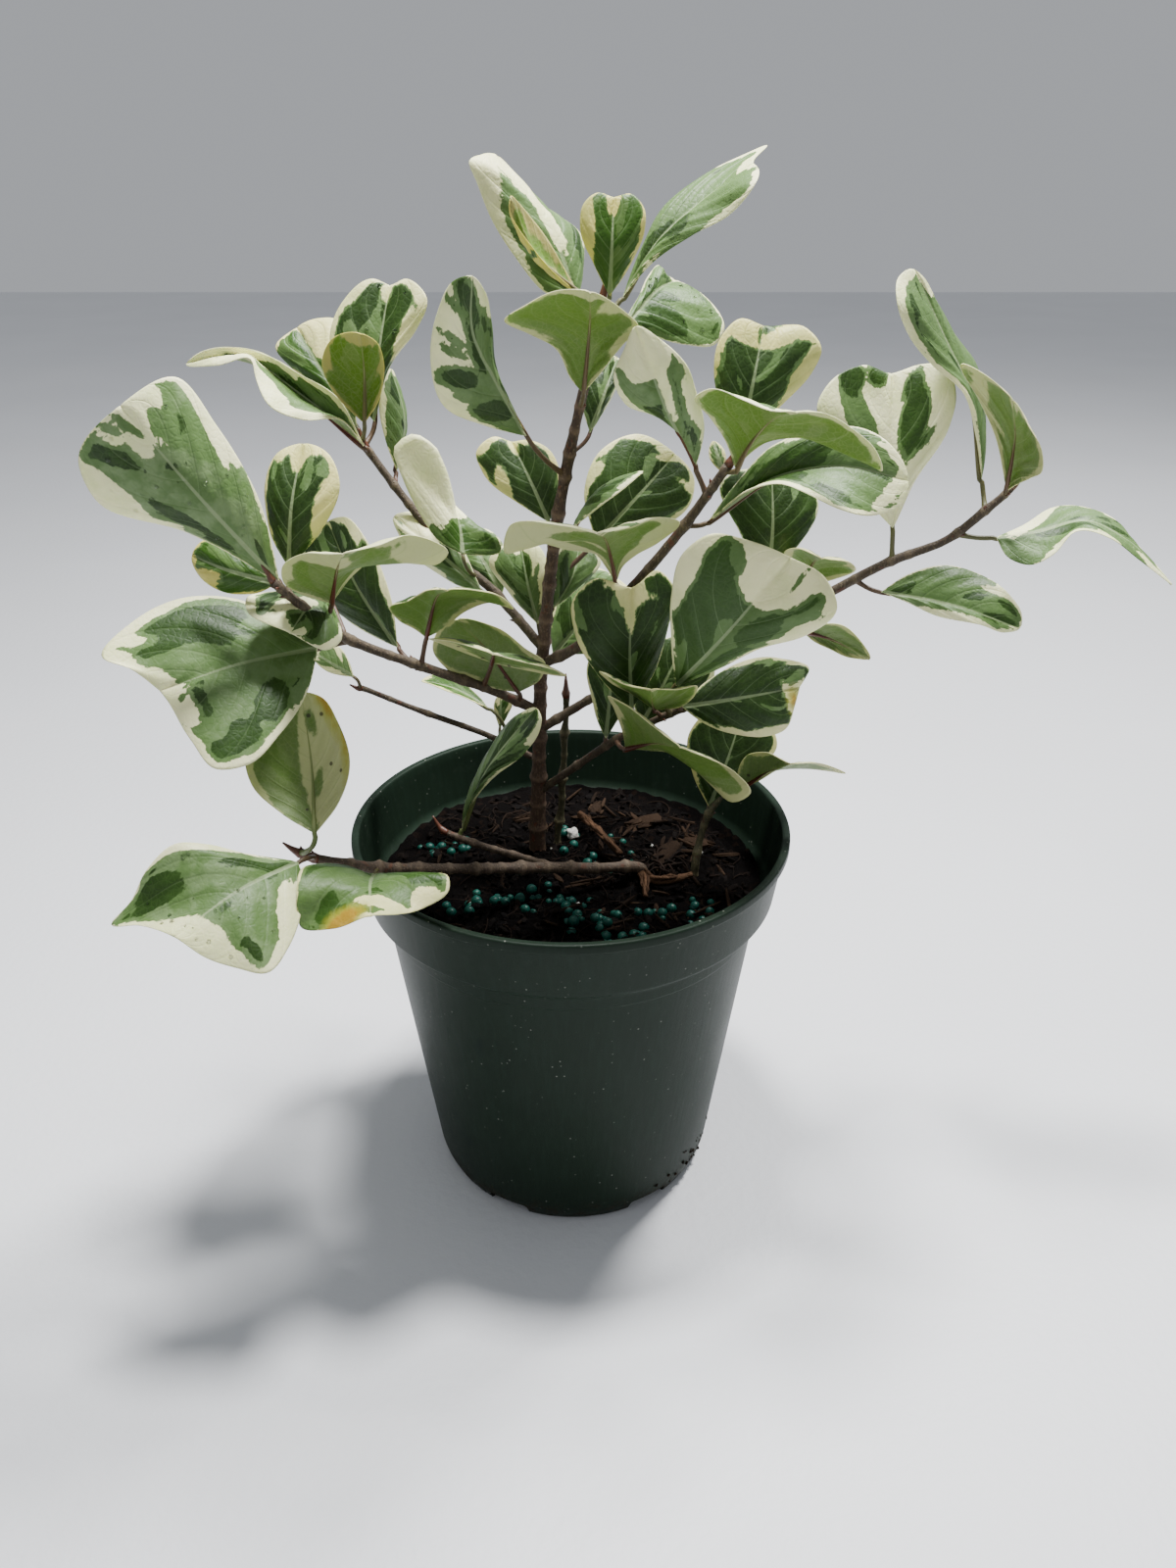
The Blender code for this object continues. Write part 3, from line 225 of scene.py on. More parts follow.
LEAVES = {
    "trunk_crown": [
        leaf(18, (-13, -8, 295), (-27, -22, 343), [(-26, -11, 299), (-38, -15, 306), (-41, -18, 319),
             (-38, -20, 333), (-32, -21, 342)], [(-18, -10, 307), (-22, -12, 320), (-23, -14, 330),
             (-24, -19, 339)], rib=[(-21, -13, 311), (-28, -17, 327)]),
        leaf(20, (-7, 12, 262), (-20, 24, 287), [(-18, 15, 268), (-30, 19, 278), (-32, 20, 284),
             (-26, 22, 289)], [(-4, 15, 270), (-3, 18, 277), (-7, 21, 285), (-14, 22, 288)], bow=2),
        leaf(23, (9, 16, 254), (37, 28, 282), (10, 24, 283), (43, 22, 267), shoulder=1, blunt=0.3),
        leaf(24, (1, -3, 264), (24, -9, 284), (11, 6, 272), (9, -14, 273), shoulder=0.8, blunt=0),
        leaf(25, (3, 2, 334), (-21, 8, 374), [(-7, -2, 337), (-15, -3, 346), (-22, -4, 357), (-26, -5, 367),
             (-28, -6, 372), (-25, 0, 374)], [(5, 9, 341), (4, 20, 352), (-8, 22, 359), (-15, 15, 367)]),
        leaf(26, (4, -5, 336), (-16, -14, 363), (-9, -2, 356), (-14, -14, 355), blunt=0),
        leaf(27, (13, -5, 336), (14, -3, 363), [(8, -5, 345), (4, -6, 355), (5, -5, 361), (9, -4, 364)],
             [(19, -5, 345), (23, -6, 354), (23, -5, 360), (19, -4, 364)], bow=3),
        leaf(28, (17, 2, 335), (56, 8, 372), [(23, 7, 348), (30, 11, 360), (43, 16, 369), (54, 20, 374),
             (61, 22, 377)], [(27, 0, 346), (38, -2, 353), (49, -4, 359), (55, -6, 366), (57, 2, 370)],
             rib=[(29, 4, 352), (41, 6, 362)]),
        leaf(29, (18, 10, 326), (36, 42, 337), [(22, 20, 333), (26, 30, 339), (30, 36, 342), (32, 39, 339)],
             [(28, 16, 322), (38, 21, 319), (50, 28, 319), (52, 30, 322), (45, 37, 333)]),
        leaf(30, (5, -8, 308), (7, -36, 340), [(7, -10, 311), (11, -14, 316), (17, -21, 324),
             (21, -26, 330), (17, -29, 334), (13, -32, 337)], [(1, -11, 313), (-3, -15, 322),
             (-11, -20, 327), (-18, -24, 331), (-11, -28, 336), (-2, -32, 340)], bow=7),
        leaf(31, (7, 2, 294), (16, 14, 316), (5, 8, 309), (17, 10, 310), blunt=0.2),
        leaf(53, (-12, 20, 222), (-18, 28, 250), (-29, 24, 246), (-8, 22, 244)),
        leaf(54, (-6, 12, 231), (3, 22, 250), (-5, 10, 251), (11, 18, 247)),
        leaf(61, (-7, 30, 206), (17, 42, 233), (-3, 38, 230), (25, 36, 215), shoulder=0.8),
    ],
    "branch_left": [
        leaf(6, (-91, -31, 254), (-126, -46, 311), [(-117, -36, 272), (-140, -41, 283), (-142, -43, 294)],
             [(-95, -33, 285), (-103, -34, 303), (-112, -35, 317)]),
        leaf(7, (-89, -26, 257), (-83, -14, 294), (-95, -20, 283), (-71, -22, 284), blunt=0.2,
             shoulder=0.7),
        leaf(9, (-92, -31, 254), (-120, -24, 261), (-110, -28, 250), (-111, -24, 266), shoulder=0.8,
             blunt=0.2),
        leaf(10, (-77, -24, 245), (-66, -52, 270), [(-68, -28, 256), (-59, -32, 263), (-39, -38, 263),
             (-36, -41, 267), (-47, -43, 273), (-56, -48, 271)], [(-81, -26, 247), (-89, -33, 254),
             (-88, -38, 261), (-79, -46, 268)], bow=3),
        leaf(11, (-60, -4, 222), (-84, 14, 262), (-93, 10, 245), (-67, 2, 255), shoulder=0.8),
        leaf(12, (-83, -8, 243), (-88, -38, 240), (-74, -30, 234), (-103, -28, 248), blunt=0.9),
        leaf(13, (-84, -20, 228), (-132, -40, 221), [(-86, -32, 218), (-92, -48, 210), (-101, -57, 203),
             (-111, -60, 203), (-120, -53, 210)], [(-95, -17, 235), (-108, -15, 243), (-126, -17, 245),
             (-142, -26, 239), (-150, -36, 231), (-140, -39, 228)]),
        leaf(51, (-49, -10, 228), (-37, -40, 255), [(-43, -13, 232), (-34, -17, 240), (-25, -21, 244),
             (-18, -24, 243), (-21, -28, 249), (-29, -34, 253)], [(-52, -13, 232), (-57, -19, 238),
             (-59, -22, 243), (-51, -28, 247), (-43, -35, 253)], bow=6),
        leaf(52, (-19, 8, 200), (-39, -2, 232), [(-11, 6, 206), (-9, 4, 213), (-16, 3, 219), (-26, 0, 228)],
             [(-28, 5, 203), (-44, -1, 213), (-48, -4, 222), (-45, -3, 229)]),
        leaf(62, (-27, -8, 218), (-24, -38, 233), (-1, -30, 222), (-46, -26, 234), bow=2),
    ],
    "branch_upper_left": [
        leaf(1, (-70, 20, 286), (-125, 14, 314), [(-76, 14, 296), (-87, 7, 297), (-96, 0, 303),
             (-100, 4, 311), (-101, 6, 316), (-114, 10, 314)], [(-77, 17, 302), (-88, 14, 310),
             (-97, 14, 316), (-109, 14, 319), (-121, 14, 317)], rib=[(-89, 18, 303), (-104, 16, 314),
             (-114, 15, 316)]),
        leaf(2, (-73, 26, 291), (-94, 42, 322), [(-85, 31, 301), (-96, 36, 310), (-101, 38, 316)],
             [(-76, 32, 305), (-77, 37, 319), (-80, 40, 325), (-86, 41, 325)]),
        leaf(3, (-67, 26, 293), (-60, 36, 336), [(-78, 28, 309), (-80, 30, 322), (-76, 32, 331),
             (-65, 35, 338)], [(-61, 28, 310), (-51, 29, 323), (-47, 30, 332), (-54, 34, 338)]),
        leaf(4, (-69, 18, 294), (-66, 8, 324), (-60, 12, 315), (-80, 12, 315), blunt=0.2, shoulder=0.9),
        leaf(5, (-61, 28, 276), (-62, 38, 309), (-65, 26, 297), (-61, 44, 294), blunt=0.1),
        leaf(19, (-37, 8, 252), (-41, 20, 267), [(-45, 9, 256), (-51, 10, 265), (-57, 11, 279),
             (-59, 12, 287), (-52, 12, 292), (-45, 14, 287), (-43, 17, 277)], [(-31, 10, 251),
             (-24, 12, 252), (-24, 12, 255), (-31, 15, 259)], bow=1),
        leaf(58, (-31, 12, 237), (-62, 20, 262), (-49, 14, 244), (-46, 22, 259), blunt=0.1),
        leaf(59, (-25, 24, 232), (-39, 38, 251), (-42, 32, 242), (-25, 36, 247)),
    ],
    "branch_right": [
        leaf(22, (16, -6, 246), (9, -40, 273), [(18, -10, 253), (22, -14, 258), (29, -20, 264),
             (35, -26, 272), (29, -29, 274), (18, -35, 273)], [(12, -9, 253), (9, -13, 258), (0, -18, 261),
             (-10, -24, 265), (-20, -30, 264), (-18, -32, 273), (-2, -37, 274)], bow=6),
        leaf(32, (40, -18, 287), (20, -28, 330), [(37, -20, 299), (28, -22, 304), (18, -24, 308),
             (14, -26, 316), (17, -27, 324)], [(42, -22, 300), (39, -26, 311), (35, -30, 320),
             (28, -29, 326)]),
        leaf(33, (54, -16, 295), (60, -8, 328), [(48, -15, 304), (45, -13, 314), (46, -12, 324),
             (52, -10, 330)], [(66, -15, 306), (75, -14, 316), (77, -14, 322), (72, -12, 328)]),
        leaf(34, (52, -24, 288), (64, -56, 311), [(55, -27, 293), (61, -30, 298), (72, -35, 300),
             (82, -40, 299), (92, -46, 293), (89, -48, 299), (80, -51, 306), (72, -54, 310)],
             [(47, -32, 299), (42, -38, 306), (37, -44, 313), (40, -46, 315), (50, -50, 313),
             (57, -53, 311)], rib=[(55, -35, 299), (60, -46, 308)]),
        leaf(35, (45, -14, 269), (103, -34, 287), [(53, -17, 282), (63, -19, 294), (76, -22, 300),
             (88, -24, 301), (97, -29, 297)], [(57, -24, 282), (65, -30, 285), (73, -35, 283),
             (82, -42, 280), (95, -38, 278), (102, -36, 281)], rib=[(67, -22, 286), (84, -28, 290)]),
        leaf(64, (49, -14, 285), (46, -10, 294), (45, -12, 289), (50, -12, 290), bow=1, cup=0, blunt=0),
    ],
    "branch_far_right": [
        leaf(36, (110, 4, 262), (106, 14, 311), [(95, 5, 277), (83, 6, 294), (81, 6, 302), (86, 9, 310),
             (96, 11, 314)], [(115, 5, 275), (125, 7, 296), (126, 8, 306), (122, 10, 314), (115, 12, 314)]),
        leaf(37, (69, 4, 245), (69, 14, 279), (52, 10, 277), (85, 10, 270)),
        leaf(38, (137, 2, 279), (107, 4, 343), [(132, 0, 294), (125, -3, 308), (114, -4, 316),
             (105, -6, 325), (100, -8, 334), (101, -1, 341)], [(138, 6, 288), (137, 12, 300),
             (134, 18, 314), (125, 14, 323), (116, 9, 334), (110, 5, 341)], rib=[(129, 3, 307),
             (119, 3, 323)]),
        leaf(39, (143, -6, 277), (134, -24, 309), [(144, -10, 280), (146, -17, 284), (147, -22, 287),
             (146, -22, 293), (141, -23, 301)], [(140, -8, 284), (135, -11, 295), (127, -14, 307),
             (119, -18, 318), (126, -21, 315)]),
        leaf(40, (143, -3, 261), (199, -16, 249), [(154, 2, 264), (163, 4, 269), (172, 4, 270),
             (183, 0, 267), (189, -6, 259), (195, -12, 253)], [(146, -10, 256), (152, -14, 255),
             (158, -16, 259), (164, -16, 266), (175, -16, 264), (187, -17, 257)], rib=[(156, -6, 264),
             (169, -8, 268), (184, -11, 262)], cup=0.5),
        leaf(41, (108, 3, 240), (153, -12, 232), [(117, 3, 246), (129, 2, 250), (141, 2, 247),
             (150, -5, 242), (154, -9, 236)], [(115, -1, 238), (126, -7, 235), (139, -14, 234),
             (148, -13, 231)]),
        leaf(42, (85, 18, 220), (113, 26, 206), (98, 24, 210), (99, 22, 221), blunt=0, shoulder=0.8),
        leaf(43, (82, 12, 239), (84, -10, 256), (97, -4, 250), (73, -2, 256)),
    ],
    "branch_low_right": [
        leaf(44, (36, -22, 215), (69, -36, 264), [(34, -26, 231), (33, -30, 250), (36, -34, 265),
             (44, -35, 271), (56, -35, 269)], [(48, -26, 222), (62, -31, 232), (76, -36, 239),
             (84, -40, 249), (80, -38, 258)]),
        leaf(45, (22, -8, 200), (21, -10, 246), [(10, -9, 214), (2, -10, 230), (1, -10, 241),
             (9, -10, 249)], [(30, -11, 217), (34, -14, 236), (35, -16, 248), (30, -14, 253)]),
        leaf(46, (39, -14, 204), (81, -8, 209), [(47, -11, 212), (59, -8, 218), (73, -4, 218),
             (84, -6, 215)], [(46, -15, 199), (56, -16, 195), (68, -18, 194), (76, -15, 196),
             (79, -11, 203)]),
        leaf(47, (30, -10, 201), (27, -36, 220), [(38, -17, 205), (43, -23, 213), (43, -26, 217),
             (36, -31, 218)], [(22, -15, 209), (14, -21, 216), (10, -24, 221), (18, -30, 219)], bow=-2),
        leaf(48, (20, -4, 183), (37, -42, 202), [(29, -8, 184), (38, -13, 185), (50, -21, 178),
             (58, -26, 173), (63, -28, 177), (57, -32, 187), (47, -37, 195)], [(19, -9, 191),
             (15, -18, 205), (13, -22, 211), (20, -27, 210), (28, -34, 206)], bow=2),
        leaf(60, (26, 4, 189), (42, 12, 220), (24, 8, 206), (52, 8, 206), shoulder=0.8),
        leaf(65, (13, 8, 181), (16, 14, 218), (6, 12, 209), (26, 12, 209), shoulder=0.4),
    ],
    "branch_thin": [
        leaf(55, (-32, 24, 187), (-58, 32, 195), (-46, 22, 194), (-46, 36, 195), bow=2, cup=0, blunt=0),
        leaf(56, (-28, 26, 177), (-27, 30, 190), (-30, 28, 187), (-23, 28, 188), bow=1, cup=0, blunt=0),
        leaf(57, (-81, 18, 202), (-97, 24, 210), (-92, 20, 204), (-87, 24, 212), bow=1, cup=0, blunt=0.1),
    ],
    "stem_low": [
        leaf(14, (-83, -56, 177), (-89, -29, 216), [(-75, -54, 187), (-72, -46, 200), (-76, -37, 209),
             (-82, -31, 215)], [(-94, -53, 183), (-104, -48, 190), (-107, -42, 198), (-104, -35, 207),
             (-98, -31, 213)]),
        leaf(15, (-88, -62, 170), (-119, -96, 164), [(-85, -69, 165), (-85, -78, 160), (-87, -88, 155),
             (-92, -98, 152), (-100, -97, 153), (-110, -97, 157)], [(-103, -67, 176), (-113, -71, 182),
             (-122, -74, 184), (-131, -78, 177), (-137, -81, 167), (-143, -84, 161), (-131, -90, 164)]),
        leaf(16, (-66, -50, 158), (-61, -86, 165), [(-57, -56, 161), (-48, -62, 165), (-38, -70, 168),
             (-38, -72, 166), (-46, -77, 162), (-53, -82, 163)], [(-72, -50, 158), (-77, -54, 164),
             (-82, -60, 168), (-86, -66, 170), (-86, -76, 166), (-85, -79, 156), (-74, -83, 158)], bow=3),
        leaf(17, (-42, 1, 146), (-12, -8, 201), [(-40, 2, 157), (-34, 4, 171), (-25, 6, 187),
             (-18, -2, 196)], [(-37, -2, 159), (-27, -7, 174), (-16, -11, 185), (-11, -14, 194),
             (-10, -16, 200)]),
    ],
    "seedling": [
        leaf(49, (53, 8, 152), (65, 18, 187), (45, 14, 181), (78, 12, 178), shoulder=0.6),
        leaf(50, (65, 8, 160), (79, -14, 182), [(71, 5, 165), (78, 1, 172), (88, -4, 175), (100, -10, 176),
             (90, -12, 181)], [(63, 6, 168), (65, 4, 175), (71, -3, 181)], bow=2),
    ],
}


def look(margin, dark=0.5, yellow=0.0, fresh=0.0, grey=0.4, cream=(), green=(), deep=(), sage=(), scorch=(),
         young=None):
    """A leaf's colouring. Margin is the width of its cream edge in millimetres. Dark is the share of the
    deep green, yellow how yellow the cream is, fresh how fresh the green is, and grey how pale the sage
    patches are. Young is how green its stalk and the midrib under it are. The rest are ovals: the u and
    v of their middle, half their length and width in millimetres, and the degrees by which they lean
    from the midrib toward the margin."""
    if young is None:
        young = min(1.0, fresh * 0.6 + max(0.0, yellow - 0.4) * 0.4)
    return {"margin": margin, "dark": dark, "tone": (yellow, fresh, grey), "cream": cream, "green": green,
            "deep": deep, "sage": sage, "scorch": scorch, "young": young}


LOOKS = {
    1: look(3.6, 0.1, cream=((0.55, -0.75, 8, 4, 0), (0.95, 0.2, 8, 4, 0))),
    2: look(2.0, 0.7, 0.45, 0.6, 0.1, cream=((0.75, 0.55, 13, 7, 0),), green=((0.7, -0.5, 8, 4, 40),)),
    3: look(1.8, 0.85, 0.3, 0.1, 0.3, cream=((0.98, -0.12, 5, 1.6, -8), (0.45, 0.97, 12, 2.6, 12)),
            sage=((0.5, -0.5, 8, 3, 20),)),
    4: look(2.4, 0.9, 0.95, 0.35, 0.0, cream=((0.98, 0.1, 6, 4, 90),)),
    5: look(2.0, 0.2, 0.1),
    6: look(4.2, 0.04, 0.0, 0.0, 0.7, cream=((0.97, 0.2, 15, 4.6, 16), (0.6, -0.86, 17, 6.5, 8),
            (0.95, -0.5, 11, 2.6, 80), (0.87, -0.18, 9, 1.6, 34), (0.55, 0.95, 9, 3.0, 5)),
            green=((0.9, -0.62, 4, 1.6, 30), (0.92, -0.3, 5.5, 1.5, 14), (0.64, 0.5, 17, 3.0, 12)),
            deep=((0.76, -0.45, 15, 3.0, 44), (0.42, -0.5, 14, 2.2, 18), (0.7, -0.93, 4, 2.5, 60)),
            sage=((0.6, -0.3, 14, 4.5, 30), (0.5, 0.3, 18, 4, 12))),
    7: look(1.6, 0.95, 0.6, 0.0, 0.3, cream=((0.97, 0.0, 8, 2.6, 0), (0.42, 0.95, 13, 4.5, 4),
            (0.97, -0.5, 6, 3.2, 70), (0.95, 0.5, 6, 3.5, 70)), sage=((0.74, 0.75, 3.5, 2.5, 40),)),
    9: look(1.6, 0.8, 0.9, 0.8, 0.1, cream=((0.75, -0.9, 8, 3, 20),)),
    10: look(5.0, 0.4, cream=((0.75, 0.75, 13, 8, 60), (0.6, -0.7, 8, 5, 60))),
    11: look(2.4, 0.92, 0.2),
    12: look(3.6, 0.6, cream=((0.6, 0.2, 8, 3, 40),)),
    13: look(3.0, 0.4, 0.0, 0.15, 0.5, cream=((0.92, -0.55, 13, 4.6, 112), (0.72, 0.97, 10, 3.0, 20),
             (0.97, 0.5, 9, 2.0, 20)), green=((0.55, -0.48, 12, 9.0, 90), (0.84, -0.36, 1.8, 1.3, 70)),
             deep=((0.5, 0.62, 16, 5.5, 8), (0.52, -0.74, 7, 6, 90), (0.36, -0.55, 8, 5, 60)),
             sage=((0.88, 0.45, 16, 3.6, 24), (0.6, -0.25, 11, 5, 90), (0.3, 0.2, 10, 3, 10))),
    14: look(2.4, 0.35, 0.0, 0.1, 0.6, cream=((0.55, -0.62, 29, 13.0, 0),),
             green=((0.78, -0.12, 4, 1.6, -8), (0.36, -0.16, 5, 1.6, 10)), young=1.0,
             scorch=((0.86, -1.0, 9, 1.5, -20), (0.6, -1.0, 6, 0.7, 0))),
    15: look(2.8, 0.3, 0.0, 0.15, 0.7, cream=((0.93, -0.3, 14, 6.0, 128), (0.32, -0.95, 15, 6.0, 58),
             (0.92, 0.62, 11, 2.2, 30), (0.72, -0.97, 9, 3.5, 100)), deep=((0.62, 0.8, 12, 4.5, 30),
             (0.9, 0.35, 13, 2.4, 28), (0.62, -0.85, 6, 4, 80)), sage=((0.5, -0.3, 12, 5, 70),)),
    16: look(1.6, 0.5, 0.35, 0.6, cream=((0.8, -0.35, 11, 3.0, 62), (0.7, -0.95, 5, 3, 90)),
             sage=((0.5, 0.2, 6, 5, 60),), scorch=((0.85, 0.88, 7, 4.5, 90),)),
    17: look(1.5, 0.7, 0.1, young=0.9),
    18: look(2.6, 0.3, 0.0, 0.15, 0.4, cream=((0.68, -0.66, 18, 8.5, 4), (0.3, -0.95, 12, 5.5, 12)),
             green=((0.86, -0.18, 10, 3.4, 0), (0.82, -0.6, 3.4, 1.5, 20), (0.68, -0.52, 5.0, 1.3, 38),
             (0.6, -0.5, 5.5, 1.5, 46), (0.48, -0.5, 8.5, 4.0, 62), (0.36, -0.42, 7.5, 2.6, 70),
             (0.24, -0.42, 8, 4.2, 60), (0.55, 0.35, 22, 5.0, 0)), deep=((0.48, -0.55, 6.5, 3.6, 62),
             (0.86, -0.18, 9, 2.6, 0), (0.24, -0.35, 6, 3.4, 60))),
    19: look(1.6, 0.6, 0.0, 0.6, 0.0, cream=((0.7, -0.72, 23, 17, 90), (0.6, -0.1, 2, 7, 60))),
    20: look(1.8, 1.0, 0.6, cream=((0.98, -0.15, 4, 1.6, 0), (0.35, -1.0, 10, 2.4, -12))),
    22: look(6.5, 0.3, 0.0, 0.1, 0.5, cream=((0.92, 0.0, 34, 7.5, 90), (0.7, 0.95, 9, 6, 60)),
             green=((0.8, 0.55, 9, 1.2, 80), (0.82, -0.5, 8, 1.0, 90))),
    23: look(2.0, 1.0, 0.35, cream=((0.96, 0.55, 8, 1.4, 50), (0.75, 0.98, 7, 1.4, 80),
             (0.35, -1.0, 8, 2.4, 0))),
    24: look(1.2, 0.6),
    25: look(2.2, 0.2, 0.1, 0.1, 0.2, cream=((0.95, -0.3, 12, 12, 0), (0.6, 0.05, 16, 3.2, 0),
             (0.6, -0.98, 14, 2.4, 0)), green=((0.48, -0.48, 17, 3.4, 4), (0.62, 0.62, 19, 3.6, 2))),
    26: look(2.6, 0.9, 0.95, 0.3, 0.1, cream=((0.3, 0.4, 8, 3, 0),)),
    27: look(1.1, 0.97, 0.8, 0.95, 0.0, cream=((1.0, 0.0, 5, 2.2, 0), (0.4, -1.0, 14, 2.6, 0)),
             sage=((0.85, 0.5, 3, 2, 0),)),
    28: look(2.0, 0.1, 0.0, 0.1, 0.1, cream=((0.95, -0.05, 6, 3.0, 60),), green=((0.58, 0.35, 20, 4.4, 3),
             (0.5, -0.6, 22, 5.0, 4)), deep=((0.28, 0.3, 15, 4, 4),), sage=((0.65, 0.1, 20, 9, 0),),
             young=0.5),
    29: look(1.0, 0.25, 0.0, 0.3, 0.15, cream=((0.97, 0.2, 9, 1.8, 70),), deep=((0.35, 0.5, 8, 5, 60),)),
    30: look(2.2, 0.75, 0.1, 0.35, 0.2, cream=((0.98, 0.2, 13, 4.5, 90), (0.97, -0.5, 12, 3.2, 90),
             (0.8, -0.98, 9, 3.0, 30))),
    31: look(1.5, 0.7),
    32: look(2.6, 0.3, 0.0, 0.1, 0.5, cream=((0.9, -0.15, 10, 10, 0), (0.62, 0.22, 12, 1.6, 6),
             (0.4, 0.95, 13, 3, 0)), deep=((0.6, 0.42, 9, 1.8, 10), (0.4, -0.4, 8, 4, 30)),
             green=((0.75, -0.78, 2.5, 1.2, 30),)),
    33: look(2.4, 0.85, 0.65, 0.0, 0.2, cream=((0.95, -0.2, 11, 5.5, 90), (0.5, 0.98, 12, 4.2, 22),
             (0.98, 0.5, 6, 2, 90)), green=((0.95, 0.62, 4, 1.3, 60), (0.9, -0.06, 3.5, 0.5, 0)),
             sage=((0.55, 0.72, 8, 2.0, 24), (0.55, -0.85, 6, 1.2, 0))),
    34: look(1.8, 0.8, 0.0, 0.45, 0.1, cream=((0.97, 0.45, 16, 2.6, 90),)),
    35: look(2.6, 0.35, 0.0, 0.2, 0.4, cream=((0.98, -0.5, 13, 2.4, 40), (0.99, 0.2, 6, 2.6, 90)),
             deep=((0.35, -0.3, 14, 3, 5),), sage=((0.7, -0.1, 12, 3, 20), (0.8, 0.5, 8, 5, 40))),
    36: look(70.0, 0.6, 0.0, 0.15, 0.2, green=((0.62, 0.32, 13, 4.6, 14), (0.8, 0.42, 6.5, 3.0, 24),
             (0.5, 0.5, 5.0, 2.0, 40), (0.6, -0.42, 17, 4.2, 20), (0.9, -0.62, 4.5, 4.0, 10),
             (0.78, -0.8, 5.0, 4.5, 30)), deep=((0.65, 0.36, 12, 5.0, 14), (0.9, -0.62, 5, 4.5, 10),
             (0.78, -0.8, 6, 5, 30)), sage=((0.6, -0.42, 17, 3.5, 20),), young=0.5),
    37: look(0.9, 1.0), 38: look(2.4, 0.12, 0.1, 0.0, 0.1, young=0.5),
    39: look(2.4, 0.5, 0.2, 0.25, 0.3, cream=((0.6, 0.75, 14, 2.5, 0),)),
    40: look(2.2, 0.2, 0.0, 0.1, 0.2, cream=((0.2, -0.85, 8, 4, 30),), green=((0.5, 0.3, 20, 2.5, 0),),
             young=0.5),
    41: look(1.6, 0.25, 0.0, 0.1, 0.2, cream=((0.8, -1.0, 9, 2.0, 0), (0.4, 1.0, 14, 1.6, 0)),
             deep=((0.85, 0.2, 7, 3, 0),), sage=((0.45, 0.1, 16, 3.5, 0),)),
    42: look(1.4, 0.5, 0.2, 0.0, 0.7), 43: look(3.0, 0.6, 0.3),
    44: look(3.2, 0.45, 0.1, 0.55, 0.1, cream=((0.98, -0.08, 17, 12.5, 0), (0.6, 0.97, 15, 5.0, 10),
             (0.45, -0.97, 20, 4.2, 10), (0.88, 0.75, 10, 5, 60), (0.9, -0.95, 9, 2.5, 60)),
             green=((0.84, 0.52, 4.0, 0.8, 0), (0.68, 0.62, 8, 2.6, 38), (0.72, -0.62, 7, 5.5, 55)),
             deep=((0.45, -0.62, 20, 4.5, 12), (0.55, 0.35, 9, 4, 20), (0.6, -0.2, 6, 4, 40)),
             sage=((0.78, -0.62, 5, 4, 50), (0.6, 0.65, 8, 4, 40))),
    45: look(1.4, 1.0, 0.4, 0.0, 0.2, cream=((0.86, -0.03, 8, 1.8, 0), (1.0, -0.12, 7, 5.0, 0),
             (0.99, -0.55, 8, 1.8, 80))),
    46: look(2.2, 0.95, 0.25, cream=((0.6, 0.97, 14, 2.6, 0), (0.9, 0.35, 6, 1.8, 60),
             (0.95, -0.2, 4, 1.4, 20)), sage=((0.88, -0.3, 6, 2.5, 40),),
             scorch=((0.9, 0.72, 2.5, 1.4, 90),)),
    47: look(1.5, 0.9, 0.3), 48: look(3.0, 0.7, 0.2),
    49: look(1.8, 0.95, 0.5, cream=((0.95, 0.3, 7, 2, 70),)),
    50: look(2.0, 0.2, 0.2, 0.0, 0.8), 51: look(2.0, 0.9, 0.3), 52: look(2.4, 0.5, 0.1, 0.0, 0.8),
    53: look(3.2, 0.4, 0.2, 0.4), 54: look(1.5, 0.3, 0.0, 0.0, 0.2),
    55: look(1.0, 0.6, 0.4, 0.9, 0.0), 56: look(1.5, 0.4, 0.3, 0.7, 0.0),
    57: look(2.2, 0.3, 0.2, 0.4),
    58: look(3.0, 0.4, cream=((0.75, 0.3, 9, 5, 20),)),
    59: look(2.6, 0.5), 60: look(1.5, 0.95), 61: look(1.5, 0.4, 0.3, 0.0, 0.5),
    62: look(3.5, 0.6, 0.2, 0.0, 0.6), 64: look(0.8, 0.8, 0.4), 65: look(1.8, 0.95, 0.2),
}


def smooth_path(places, spacing):
    """Points on a smooth curve through the places (x, y, z, radius), about a spacing apart."""
    rows = [Vector(place) for place in places]
    rows = [2 * rows[0] - rows[1]] + rows + [2 * rows[-1] - rows[-2]]
    points = []
    for before, start, end, after in zip(rows, rows[1:], rows[2:], rows[3:]):
        count = max(1, round((end - start).length / spacing))
        for step in range(count):
            t = step / count
            points.append(0.5 * (2 * start + (end - before) * t
                                 + (2 * before - 5 * start + 4 * end - after) * t * t
                                 + (3 * start - before - 3 * end + after) * t * t * t))
    points.append(rows[-2])
    return points


def along(places, share):
    """A place on the smooth curve through places[1:-1], at a share of its length."""
    spans = [(end - start).length for start, end in zip(places[1:], places[2:-1])]
    left = share * sum(spans)
    for number, span in enumerate(spans):
        if left <= span or number == len(spans) - 1:
            break
        left -= span
    t = min(1.0, left / span)
    before, start, end, after = places[number:number + 4]
    start_slope = slope(before, start, end) * span
    end_slope = slope(start, end, after) * span
    return (start * (2 * t ** 3 - 3 * t * t + 1) + end * (3 * t * t - 2 * t ** 3)
            + start_slope * (t ** 3 - 2 * t * t + t) + end_slope * (t ** 3 - t * t))


def slope(before, place, after):
    """The direction in which a smooth curve passes a place, for neighbours at unlike distances."""
    back, ahead = (place - before).length, (after - place).length
    return ((place - before) / back * ahead + (after - place) / ahead * back) / (back + ahead)


